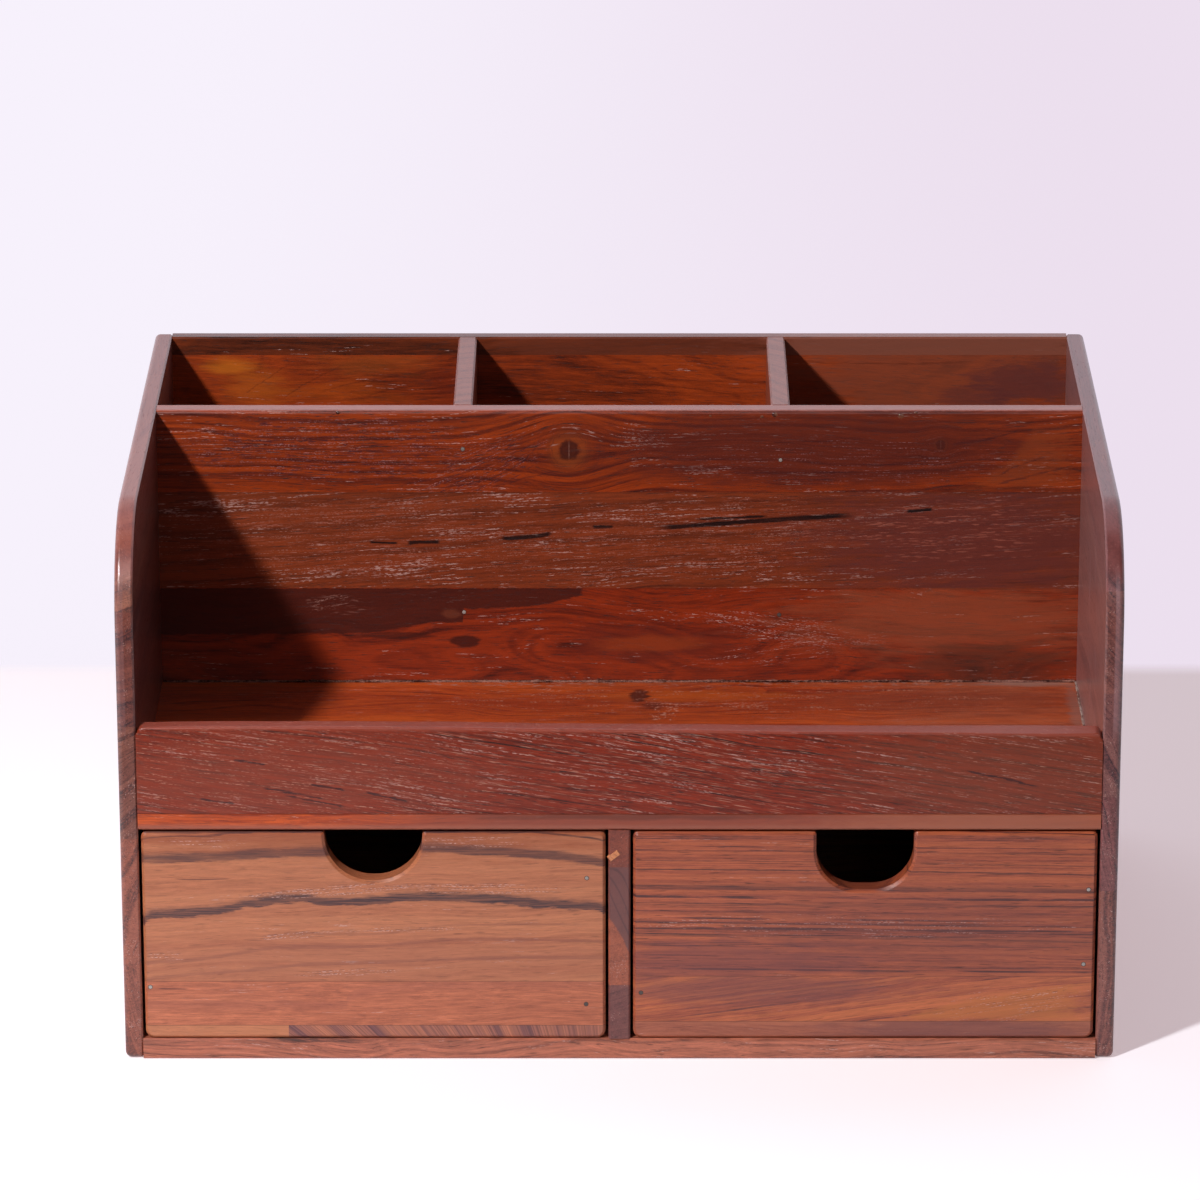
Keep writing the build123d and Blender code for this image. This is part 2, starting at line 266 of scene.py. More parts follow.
@dataclass(frozen=True)
class Streak(Feature):
    """A mineral line along a smooth path, crisp on one side and feathered on the other.

    The path is a spline through (along, across) points. Its sides wobble by the jag, its threads
    thin out by the fray, and it tapers over a share of its length at both ends.
    """

    points: Line
    above: float = 1.2
    below: float = 0.5
    shade: str = "#3a2226"
    strength: float = 0.9
    jag: float = 0.8
    fray: float = 0.5
    taper: float = 0.0

    def cover(self, tree: Tree, board: Node) -> Node:
        """Covers the line.

        Args:
            tree: The material's nodes.
            board: The board's coordinates in millimetres.

        Returns:
            The product of two smooth steps of the height over the path, frayed and tapered.
        """
        along, across = zip(*self.points)
        low, rise = min(across), max(max(across) - min(across), 0.001)
        axes = add(tree, "SeparateXYZ", board).outputs
        share = add(tree, "MapRange", axes[0], along[0], along[-1]).outputs[0]
        curve = add(tree, "FloatCurve", 1.0, share)
        line = curve.mapping.curves[0].points
        ways = [((x - along[0]) / (along[-1] - along[0]), (z - low) / rise) for x, z in self.points]
        for way in ways[1:-1]:
            line.new(*way)
        line[0].location, line[-1].location = ways[0], ways[-1]
        curve.mapping.update()
        height = add(tree, "Math MULTIPLY_ADD", curve, rise, low)
        ragged = mottled(tree, board, (0.11, 0.8, 0.8), 4.0, 0.65)
        wobble = add(tree, "MapRange", ragged, *SPAN, -self.jag, self.jag)
        over = add(tree, "Math ADD", add(tree, "Math SUBTRACT", axes[1], height), wobble)
        upper = add(tree, "MapRange SMOOTHSTEP", over, 0.0, self.above, 1.0, 0.0)
        lower = add(tree, "MapRange SMOOTHSTEP", over, -self.below, 0.0)
        cover = add(tree, "MapRange", add(tree, "Math MULTIPLY", upper, lower), 0.0, 0.62)
        thread = mottled(tree, board, (0.07, 3.2, 3.2))
        thread = add(tree, "MapRange", thread, 0.36, 0.62, 1.0 - self.fray, 1.0)
        cover = add(tree, "Math MULTIPLY", cover, thread)
        if self.taper:
            ends = add(tree, "Math PINGPONG", share, 0.5)
            ends = add(tree, "MapRange SMOOTHSTEP", ends, 0.0, self.taper)
            cover = add(tree, "Math MULTIPLY", cover, ends)
        return add(tree, "Math MULTIPLY", cover, self.strength)


@dataclass(frozen=True)
class Stain(Feature):
    """A soft patch of another tone: an ellipse whose edge noise has pushed in and out."""

    at: Pair
    size: Pair
    shade: str
    strength: float = 0.6
    soft: float = 0.6
    ragged: float = 0.5
    slope: float = 0.0

    def cover(self, tree: Tree, board: Node) -> Node:
        """Covers the ellipse.

        Args:
            tree: The material's nodes.
            board: The board's coordinates in millimetres.

        Returns:
            One inside it times the strength, falling smoothly to nothing outside.
        """
        turned = add(tree, "Mapping", board, (*self.at, 0.0), (0.0, 0.0, math.radians(self.slope)),
                     (*self.size, 1.0), vector_type="TEXTURE")
        flat = add(tree, "VectorMath MULTIPLY", turned, (1.0, 1.0, 0.0))
        reach = add(tree, "VectorMath LENGTH", flat).outputs["Value"]
        edge = mottled(tree, board, (0.06, 0.3, 0.3), 4.0, 0.65)
        push = add(tree, "MapRange", edge, *SPAN, -self.ragged, self.ragged)
        reach = add(tree, "Math ADD", reach, push)
        inner, outer = 1.0 - self.soft / 2, 1.0 + self.soft / 2
        return add(tree, "MapRange SMOOTHSTEP", reach, inner, outer, self.strength, 0.0)


@dataclass(frozen=True)
class Seam(Feature):
    """The thin dark glue line between two strips, at a place across the board."""

    at: float
    half: float = 0.22
    shade: str = "#1d0e0c"
    strength: float = 0.6

    def cover(self, tree: Tree, board: Node) -> Node:
        """Covers the line: full at its middle and gone half a width away."""
        over = add(tree, "Math SUBTRACT", add(tree, "SeparateXYZ", board).outputs[1], self.at)
        return add(tree, "MapRange", add(tree, "Math ABSOLUTE", over), 0.0, self.half, self.strength, 0.0)


@dataclass(frozen=True)
class Knot(Feature):
    """A round knot: a dark cracked heart in rings, with the grain bowed over a halo of its radii."""

    at: Pair
    radius: float
    halo: float = 3.0
    heart: str = "#1c0d0b"
    glow: str = "#9a4a1e"

    def place(self, tree: Tree, board: Node) -> Node:
        """Returns the offset from the knot's middle on the face, in millimetres."""
        off = add(tree, "VectorMath SUBTRACT", board, (*self.at, 0.0))
        return add(tree, "VectorMath MULTIPLY", off, (1.0, 1.0, 0.0))

    def bend(self, tree: Tree, board: Node) -> Node:
        """Bows the grain.

        Args:
            tree: The material's nodes.
            board: The board's coordinates in millimetres.

        Returns:
            The coordinates, each drawn towards the middle by a bell curve of its distance.
        """
        off = self.place(tree, board)
        reach = add(tree, "VectorMath LENGTH", off).outputs["Value"]
        share = add(tree, "Math DIVIDE", reach, self.radius * self.halo)
        bell = add(tree, "Math POWER", 0.5, add(tree, "Math POWER", share, 2.0))
        pull = add(tree, "VectorMath SCALE", off, Scale=add(tree, "Math MULTIPLY", bell, 0.72))
        return add(tree, "VectorMath SUBTRACT", board, pull)

    def lay(self, tree: Tree, board: Node, colour: Socket) -> Node:
        """Draws the glow, the rings, the heart and its crack.

        Args:
            tree: The material's nodes.
            board: The board's coordinates in millimetres.
            colour: The colour so far.

        Returns:
            The colour with the knot: its rings are a one-dimensional noise of the distance, and a
            pale upright crack crosses the heart.
        """
        off = self.place(tree, board)
        shake = add(tree, "TexNoise", board, Detail=3.0, Scale=0.35, Roughness=0.6)
        reach = add(tree, "VectorMath LENGTH", off).outputs["Value"]
        reach = add(tree, "Math MULTIPLY_ADD", add(tree, "MapRange", shake, 0.2, 0.8, -0.5, 0.5),
                    self.radius * 0.5, reach)
        share = add(tree, "Math DIVIDE", reach, self.radius)
        glow = add(tree, "MapRange SMOOTHSTEP", share, 1.2, self.halo * 0.6, 0.5, 0.0)
        colour = add(tree, "MixRGB", glow, colour, self.glow)
        rings = add(tree, "TexNoise 1D", Scale=1.0, Detail=2.0, Roughness=0.7,
                    W=add(tree, "Math MULTIPLY", reach, 0.55))
        rings = add(tree, "MapRange SMOOTHSTEP", rings, 0.50, 0.64, 0.0, 0.5)
        fade = add(tree, "MapRange SMOOTHSTEP", share, 1.0, self.halo, 1.0, 0.0)
        rings = add(tree, "Math MULTIPLY", rings, fade)
        colour = add(tree, "MixRGB", rings, colour, "#45181a")
        dark = add(tree, "MapRange SMOOTHSTEP", share, 0.75, 1.15, 0.88, 0.0)
        colour = add(tree, "MixRGB", dark, colour, self.heart)
        crack = add(tree, "Math ABSOLUTE", add(tree, "SeparateXYZ", off).outputs[0])
        crack = add(tree, "MapRange", crack, 0.0, 0.3, 0.55, 0.0)
        crack = add(tree, "Math MULTIPLY", crack, add(tree, "MapRange", share, 0.5, 1.0, 1.0, 0.0))
        return add(tree, "MixRGB", crack, colour, "#a87868")


@dataclass(frozen=True)
class Chalk(Feature):
    """A drift of open pores that chalky deposit has filled: rows of pale dots in a soft ellipse; on the right
    side's inner face the same rows draw a painted reflection.

    The share is how full it is, the dash a dot's length and width, and the row a row's length.
    """

    at: Pair
    size: Pair
    slope: float = 0.0
    share: float = 0.5
    dash: Pair = (1.1, 0.34)
    row: float = 16.0
    shade: str = "#cfa49b"
    strength: float = 0.75

    def cover(self, tree: Tree, board: Node) -> Node:
        """Covers the dots.

        Args:
            tree: The material's nodes.
            board: The board's coordinates in millimetres.

        Returns:
            The brighter parts of a fine noise, kept along the rows of a longer one.
        """
        turned = add(tree, "Mapping", board, (*self.at, 0.0), (0.0, 0.0, math.radians(self.slope)),
                     vector_type="TEXTURE")
        scaled = add(tree, "VectorMath MULTIPLY", turned, (1 / self.size[0], 1 / self.size[1], 0.0))
        reach = add(tree, "VectorMath LENGTH", scaled).outputs["Value"]
        inside = add(tree, "MapRange SMOOTHSTEP", reach, 0.5, 1.2, self.share * 0.19, -0.20)
        long, wide = self.dash
        rows = mottled(tree, turned, (1 / self.row, 0.75 / wide, 0.4), 2.0)
        dots = mottled(tree, turned, (1 / long, 1 / wide, 0.8), 1.0, 0.5)
        kept = add(tree, "Math ADD", rows, inside)
        kept = add(tree, "MapRange", kept, 0.66, 0.76, 0.0, self.strength)
        bright = add(tree, "MapRange", dots, 0.48, 0.62)
        return add(tree, "Math MULTIPLY", bright, kept)


def straight_patch(sides: Pair, heights: Pair, shade: str, strength: float, **edges: object) -> "Patch":
    """A patch between two places along a board and two heights across it."""
    low, high = (tuple((side, height) for side in sides) for height in heights)
    return Patch(low, high, shade, strength, **edges)


def open_pores(at: Pair, size: Pair, slope: float = 0.0, share: float = 0.8) -> tuple[Chalk, Chalk]:
    """A drift of short dark pores with the chalk that sits beside them."""
    dark = Chalk((at[0], at[1] + 0.35), size, slope, share, dash=(1.7, 0.34), shade="#5f2e28", strength=0.6)
    return dark, Chalk(at, size, slope, share * 0.85, dash=(0.9, 0.32))


@dataclass(frozen=True)
class Patch(Feature):
    """A crisp patch between two broken lines, given as (along, across) points from left to right."""

    low: Line
    high: Line
    shade: str
    strength: float = 0.8
    edge: float = 0.5
    ends: float = 0.5
    ragged: float = 0.3

    def line(self, tree: Tree, along: Socket, points: Line) -> Node:
        """Adds the height of a broken line over each place along the board.

        Args:
            tree: The material's nodes.
            along: The place along the board.
            points: The line's points.

        Returns:
            The height, a sum of one straight ramp per stretch.
        """
        height = points[0][1]
        for (start, low), (end, high) in zip(points[:-1], points[1:]):
            rise = add(tree, "MapRange", along, start, end, 0.0, high - low)
            height = add(tree, "Math ADD", rise, height)
        return height

    def cover(self, tree: Tree, board: Node) -> Node:
        """Covers the patch.

        Args:
            tree: The material's nodes.
            board: The board's coordinates in millimetres.

        Returns:
            The least of the distances to its four sides, each over the width it fades across.
        """
        axes = add(tree, "SeparateXYZ", board).outputs
        shake = mottled(tree, board, (0.25, 0.8, 0.8), 3.0, 0.65)
        shake = add(tree, "MapRange", shake, *SPAN, -self.ragged, self.ragged)
        over = add(tree, "Math SUBTRACT", axes[1], self.line(tree, axes[0], self.low))
        under = add(tree, "Math SUBTRACT", self.line(tree, axes[0], self.high), axes[1])
        after = add(tree, "Math SUBTRACT", axes[0], self.low[0][0])
        before = add(tree, "Math SUBTRACT", self.low[-1][0], axes[0])
        long = add(tree, "Math MINIMUM", over, under)
        long = add(tree, "Math DIVIDE", add(tree, "Math ADD", long, shake), self.edge)
        short = add(tree, "Math DIVIDE", add(tree, "Math MINIMUM", after, before), self.ends)
        short = add(tree, "Math MULTIPLY_ADD", shake, 0.4, short)
        inside = add(tree, "Math MINIMUM", long, short)
        return add(tree, "MapRange SMOOTHSTEP", inside, 0.0, 1.0, 0.0, self.strength)


@dataclass(frozen=True)
class Splice(Feature):
    """A stretch of a strip that was pieced in from another offcut, its grain slanting across."""

    start: float
    end: float
    light: str
    dark: str
    lean: Pair = (1.1, 0.0)
    spacing: float = 7.0

    def lay(self, tree: Tree, board: Node, colour: Socket) -> Node:
        """Draws the offcut.

        Args:
            tree: The material's nodes.
            board: The board's coordinates in millimetres.
            colour: The colour so far.

        Returns:
            The colour with the offcut: one-dimensional noises of along plus lean times across, so
            that each band falls to the right, less and less from one end to the other.
        """
        axes = add(tree, "SeparateXYZ", board).outputs
        after = add(tree, "Math GREATER_THAN", axes[0], self.start)
        before = add(tree, "Math LESS_THAN", axes[0], self.end)
        inside = add(tree, "Math MULTIPLY", after, before)
        lean = add(tree, "MapRange", axes[0], self.start, self.end, *self.lean)
        place = add(tree, "Math MULTIPLY_ADD", axes[1], lean, axes[0])
        bands = add(tree, "TexNoise 1D", Scale=1.0, Detail=2.0, Roughness=0.6,
                    W=add(tree, "Math DIVIDE", place, self.spacing))
        threads = add(tree, "TexNoise 1D", Scale=1.0, Detail=2.0, Roughness=0.7,
                      W=add(tree, "Math MULTIPLY", place, 1.3))
        tone = add(tree, "MapRange", bands, 0.38, 0.66)
        fine = add(tree, "MapRange", threads, 0.35, 0.65, 0.72, 1.3)
        offcut = add(tree, "MixRGB", tone, self.light, self.dark)
        offcut = add(tree, "VectorMath SCALE", offcut, Scale=fine)
        return add(tree, "MixRGB", inside, colour, offcut)


@dataclass(frozen=True)
class Teak:
    """Teak heartwood, planed, glued edge to edge and brushed with a satin varnish.

    It gives the eye warm brown bands, dark mineral lines, open pores that chalk has filled, and a
    soft sheen under a thin gloss. The band is the growth bands' spacing, the depth their contrast
    and the wander their sway; line, pores and chalk are amounts. The tilt turns the pith line in the
    board's face and through it. Lengths are in millimetres and angles in degrees.
    """

    name: str
    light: str
    mid: str
    dark: str
    grain: Grain = Grain.ACROSS
    pith: Triple = (0.0, -60.0, 25.0)
    tilt: Pair = (0.0, 0.0)
    band: float = 9.0
    depth: float = 0.9
    line: float = 0.5
    pores: float = 0.4
    chalk: float = 0.2
    wander: float = 7.0
    gloss: float = 0.35
    features: tuple[Feature, ...] = ()

    def finish(self, figure: FigureGroup) -> bpy.types.Material:
        """Makes the material.

        Args:
            figure: The shared figure of the wood.

        Returns:
            The material, which reads Object coordinates.
        """
        material, tree, place = start_finish(self.name)
        axes = add(tree, "SeparateXYZ", place).outputs
        board = add(tree, "CombineXYZ", *(axes[i] for i in self.grain.value))
        bowed = board
        for feature in self.features:
            bowed = feature.bend(tree, bowed)
        flat, upright = (math.radians(angle) for angle in self.tilt)
        turned = add(tree, "Mapping", bowed, self.pith, (0.0, upright, flat))
        drawn = add(tree, "Group", turned, node_tree=figure.tree, Light=self.light, Mid=self.mid,
                    Dark=self.dark, Band=self.band, Depth=self.depth, Line=self.line, Pores=self.pores,
                    Chalk=self.chalk, Wander=self.wander)
        colour = drawn.outputs["Color"]
        sides = add(tree, "SeparateXYZ", board).outputs
        views = {face: add(tree, "CombineXYZ", *(sides[i] for i in face.value)) for face in Face}
        for feature in self.features:
            colour = feature.lay(tree, views[feature.face], colour)
        rough = add(tree, "Math MULTIPLY_ADD", drawn.outputs["Pore"], 0.25, 0.36)
        bump = add(tree, "Bump", Strength=0.4, Distance=0.00008, Height=drawn.outputs["Height"])
        ripple = mottled(tree, board, (0.35, 0.9, 0.9), 3.0, 0.7)
        skin = add(tree, "Bump", Strength=0.6, Distance=0.00022, Height=ripple)
        shader = add(tree, "BsdfPrincipled", Base_Color=colour, Roughness=rough, Normal=bump,
                     Coat_Weight=self.gloss, Coat_Roughness=0.12, Coat_Normal=skin)
        add(tree, "OutputMaterial", shader)
        return material


@dataclass
class Studio:
    """The camera, the lamps, the pale floor and the room. Lengths are in metres."""

    camera_at: Triple = (0.0, -2.4936, 1.0128)
    camera_pitch: float = 70.775
    lens: float = 199.72
    shift: float = -0.01613
    floor_reach: float = 6.0
    table_edge: float = 0.309
    table_front: float = -0.35
    key_at: Triple = (-0.74, -1.0, 1.08)
    key_size: float = 0.09
    key_power: float = 21.0
    fill_at: Triple = (0.6, -2.6, 1.2)
    fill_size: float = 1.4
    fill_power: float = 4.5
    room: float = 0.07
    wall: float = 0.85
    shown: float = 0.95
    lift: float = 0.36

    def camera(self) -> None:
        """Sets the camera at the picture's angle and framing."""
        data = bpy.data.cameras.new("camera")
        data.lens = self.lens
        data.shift_x = self.shift
        made = bpy.data.objects.new("camera", data)
        made.location = self.camera_at
        made.rotation_euler = (math.radians(self.camera_pitch), 0.0, 0.0)
        bpy.context.scene.collection.objects.link(made)
        bpy.context.scene.camera = made

    def lamp(self, name: str, at: tuple, size: float, power: float, colour: str) -> None:
        """Hangs one square soft lamp that faces the object.

        Args:
            name: Its name.
            at: Its place.
            size: Its side.
            power: Its power in watts.
            colour: Its sRGB colour.
        """
        data = bpy.data.lights.new(name, "AREA")
        data.size = size
        data.energy = power
        data.color = linear(colour)[:3]
        made = bpy.data.objects.new(name, data)
        made.location = at
        away = np.array(at) - (0.0, 0.0, 0.1)
        flat = math.hypot(away[0], away[1])
        made.rotation_euler = (math.atan2(flat, away[2]), 0.0, math.atan2(away[0], -away[1]))
        bpy.context.scene.collection.objects.link(made)

    def world(self) -> None:
        """Lights the room: dim in front, pale behind the table, and pale wherever it is seen."""
        world = bpy.data.worlds.new("room")
        world.use_nodes = True
        tree = world.node_tree
        tree.nodes.clear()
        way = add(tree, "SeparateXYZ", add(tree, "TexCoord").outputs["Generated"]).outputs[1]
        lit = add(tree, "MapRange SMOOTHSTEP", way, 0.0, 0.6, self.room, self.wall)
        path = add(tree, "LightPath").outputs
        behind = add(tree, "Math GREATER_THAN", way, 0.0)
        mirrored = add(tree, "Math MULTIPLY", path["Is Glossy Ray"], behind)
        seen = add(tree, "Math MAXIMUM", path["Is Camera Ray"], path["Is Transmission Ray"])
        seen = add(tree, "Math MAXIMUM", seen, mirrored)
        strength = add(tree, "MixRGB", seen, lit, (self.shown, self.shown, self.shown, 1.0))
        add(tree, "OutputWorld", add(tree, "Background", "#f4eefa", strength))
        bpy.context.scene.world = world

    def floor(self) -> bpy.types.Object:
        """Lays the floor.

        Returns:
            The floor: a white table that the lamps reach, and pale lavender behind it.
        """
        reach = self.floor_reach
        corners = [(-reach, -reach, 0.0), (reach, -reach, 0.0), (reach, reach, 0.0), (-reach, reach, 0.0)]
        mesh = bpy.data.meshes.new("floor")
        mesh.from_pydata(corners, [], [(0, 1, 2, 3)])
        made = bpy.data.objects.new("floor", mesh)
        bpy.context.scene.collection.objects.link(made)
        material = bpy.data.materials.new("matt white laminate table")
        material.use_nodes = True
        tree = material.node_tree
        tree.nodes.clear()
        across, depth, _ = add(tree, "SeparateXYZ", add(tree, "TexCoord").outputs["Object"]).outputs
        path = add(tree, "LightPath").outputs
        seen = add(tree, "Math MAXIMUM", path["Is Camera Ray"], path["Is Glossy Ray"])
        seen = add(tree, "Math MAXIMUM", seen, path["Is Transmission Ray"])
        far = add(tree, "MapRange", depth, self.table_edge, self.table_edge + 0.015)
        shown = add(tree, "Math MULTIPLY", far, seen)
        # Every ray but the camera's finds the table dark in front of table_front, so the fronts reflect and
        # catch little of it; the camera still sees it white.
        near = add(tree, "MapRange", depth, self.table_front, self.table_front - 0.08)
        unlit = add(tree, "Math SUBTRACT", 1.0, path["Is Camera Ray"])
        unlit = add(tree, "Math MULTIPLY", unlit, near)
        white = add(tree, "MixRGB", unlit, "#f9fafc", "#2c2829")
        lift = add(tree, "Math MULTIPLY", path["Is Camera Ray"], self.lift)
        lift = add(tree, "Emission", "#ffe2e4", lift)
        table = add(tree, "AddShader", add(tree, "BsdfDiffuse", white), lift)
        across = add(tree, "MapRange SMOOTHSTEP", across, -0.3, 0.3)
        beyond = add(tree, "Emission", add(tree, "MixRGB", across, "#f7f1fc", "#ecdfee"))
        add(tree, "OutputMaterial", add(tree, "MixShader", shown, table, beyond))
        mesh.materials.append(material)
        return made

    def build(self) -> None:
        """Sets everything up."""
        bpy.context.scene.view_settings.view_transform = "Standard"
        self.camera()
        self.lamp("key", self.key_at, self.key_size, self.key_power, "#fbfcff")
        self.lamp("fill", self.fill_at, self.fill_size, self.fill_power, "#f8f6ff")
        self.world()
        self.floor()


def put_in_scene(name: str, points: np.ndarray, faces: list, materials: list,
                 rows: np.ndarray) -> bpy.types.Object:
    """Makes one smooth-shaded object from points and faces.

    Args:
        name: The piece's name.
        points: Its points in metres, one row each.
        faces: Its faces, as tuples of point numbers.
        materials: Its materials.
        rows: The material number of each face.

    Returns:
        The object, at the origin, with its faces turned outwards.
    """
    mesh = bpy.data.meshes.new(name)
    mesh.from_pydata(points, [], faces)
    for material in materials:
        mesh.materials.append(material)
    mesh.polygons.foreach_set("material_index", rows.astype(np.int32))
    mesh.polygons.foreach_set("use_smooth", np.ones(len(faces), bool))
    mesh.update()
    made = bpy.data.objects.new(name, mesh)
    bpy.context.scene.collection.objects.link(made)
    return made


def quads(rings: int, around: int) -> np.ndarray:
    """Numbers the faces of a tube of rings.

    Args:
        rings: How many rings there are.
        around: How many points are in a ring.

    Returns:
        One face per row, each from point a of ring r to point a + 1 of ring r + 1.
    """
    ring = np.arange(rings - 1)[:, None] * around
    step = np.arange(around)[None, :]
    after = (step + 1) % around
    found = np.stack([ring + step, ring + after, ring + around + after, ring + around + step], axis=-1)
    return found.reshape(-1, 4)


def waves(x: np.ndarray, length: float, seed: int) -> np.ndarray:
    """An uneven wave between about -1 and 1: four sines, each 1.9 times shorter and lower."""
    phases = np.random.default_rng(seed).uniform(0, 2 * np.pi, 4)
    sines = (np.sin(2 * np.pi * x / length * 1.9**i + phase) / 1.9**i for i, phase in enumerate(phases))
    return sum(sines) / 1.8


@dataclass
class WornBoard:
    """A straight board whose long upper edge was planed by hand, so it rises, dips and twists.

    Lengths are in millimetres. The front and rear heights are pairs of share along the board and
    height over the node's top. The corners are the rounds of the upper edge at the two ends. The
    stations stand closer to each other at the ends, by the share BUNCHED.
    """

    BUNCHED = 0.15

    node: str
    slot: str
    front: Line
    rear: Line
    front_round: float = 1.6
    rear_round: float = 0.8
    corner: float = 0.0
    waviness: float = 0.15
    stations: int = 220
    seed: int = 1

    def top(self, heights: Line, share: np.ndarray) -> np.ndarray:
        """Height over the node's top: straight lines through the pairs, smoothed over their ends."""
        places, rises = np.array(heights).T
        spans = np.linspace(-0.04, 0.04, 9)
        return np.mean([np.interp(np.clip(share + span, 0, 1), places, rises) for span in spans], axis=0)

    def section(self, width: float) -> np.ndarray:
        """The upper side of one cross-section.

        Args:
            width: The board's thickness.

        Returns:
            For each point from the front to the rear, its offset from the front face and its drop
            below the top: quarter arcs at the two arrises and a flat between them.
        """
        turn = np.linspace(0, np.pi / 2, 6)
        run, fall = 1 - np.cos(turn), 1 - np.sin(turn)
        front = np.stack([self.front_round * run, self.front_round * fall], 1)
        rear = np.stack([width - self.rear_round * fall, self.rear_round * run], 1)
        across = np.array([[width * share, 0.0] for share in (0.3, 0.5, 0.7)])
        return np.concatenate([front, across, rear])

    def build(self, material: bpy.types.Material) -> bpy.types.Object:
        """Builds the board: the section carried along X, its top following the two heights.

        Args:
            material: Its finish.

        Returns:
            The piece, which stands for the node and rides on the case.
        """
        low, high = (np.array(corner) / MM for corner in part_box(self.node))
        even = np.linspace(0, 1, 41)
        ease = (1 - np.cos(np.linspace(0, np.pi, 41))) / 2
        eased = (1 - self.BUNCHED) * even + self.BUNCHED * ease
        share = np.interp(np.linspace(0, 1, self.stations), even, eased)
        along = low[0] + (high[0] - low[0]) * share
        outline = self.section(high[1] - low[1])
        weight = outline[:, 0] / (high[1] - low[1])
        wave = waves(along, 90.0, self.seed) * self.waviness
        front, rear = (self.top(heights, share)[:, None] for heights in (self.front, self.rear))
        top = high[2] + wave[:, None] + ((1 - weight) * front + weight * rear)
        if self.corner:
            reach = np.clip(self.corner - np.minimum(along - low[0], high[0] - along), 0, self.corner)
            top = top - (self.corner - np.sqrt(self.corner**2 - reach**2))[:, None]
        upper_z = top - outline[:, 1]
        y = low[1] + outline[:, 0]
        levels = np.linspace(0, 1, 5)[:-1]
        front_z = low[2] + (upper_z[:, :1] - low[2]) * levels
        rear_z = low[2] + (upper_z[:, -1:] - low[2]) * levels[::-1]
        z = np.concatenate([front_z, upper_z, rear_z], axis=1)
        y = np.concatenate([np.full(len(levels), low[1]), y, np.full(len(levels), high[1])])
        x, y = (np.broadcast_to(row, z.shape) for row in (along[:, None], y))
        points = np.stack([x, y, z], axis=-1).reshape(-1, 3) * MM
        around = z.shape[1]
        faces = [tuple(face) for face in quads(len(along), around)[:, ::-1]]
        faces.append(tuple(range(around)))
        faces.append(tuple(range(len(points) - 1, len(points) - around - 1, -1)))
        made = put_in_scene(f"{self.node}_planed", points, faces, [material], np.zeros(len(faces)))
        weighted = made.modifiers.new("weighted normals", "WEIGHTED_NORMAL")
        weighted.keep_sharp = True
        made.data.set_sharp_from_angle(angle=math.radians(50))
        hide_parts(self.node)
        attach(made, "case")
        return made


@dataclass(frozen=True)
class BradSteel:
    """Bright drawn steel wire, dulled by varnish: a small grey glint in a dark ring of wax."""

    head: str = "#c3bab2"
    wax: str = "#4a2c24"

    def steel(self) -> bpy.types.Material:
        """Makes the steel.

        Returns:
            The material: brushed varnish leaves it a little rough and uneven.
        """
        material, tree, place = start_finish("drawn steel under varnish")
        grit = add(tree, "TexNoise", place, Scale=1.4, Detail=3.0)
        one = add(tree, "MapRange", add(tree, "TexNoise", place, Scale=0.021, Detail=0.0), 0.42, 0.58)
        dull = add(tree, "Math MULTIPLY_ADD", grit, 0.4, one)
        colour = add(tree, "MixRGB", dull, self.head, "#5c5450")
        rough = add(tree, "MapRange", grit, 0.3, 0.7, 0.35, 0.55)
        shader = add(tree, "BsdfPrincipled", Base_Color=colour, Roughness=rough, Metallic=0.35)
        add(tree, "OutputMaterial", shader)
        return material

    def filler(self) -> bpy.types.Material:
        """Makes the wax.

        Returns:
            The material of the dark wax that fills the hole's rim.
        """
        material, tree, place = start_finish("dark filling wax")
        blot = add(tree, "TexNoise", place, Scale=0.9, Detail=2.0)
        colour = add(tree, "MixRGB", blot, self.wax, "#5a3024")
        shader = add(tree, "BsdfPrincipled", Base_Color=colour, Roughness=0.5)
        add(tree, "OutputMaterial", shader)
        return material


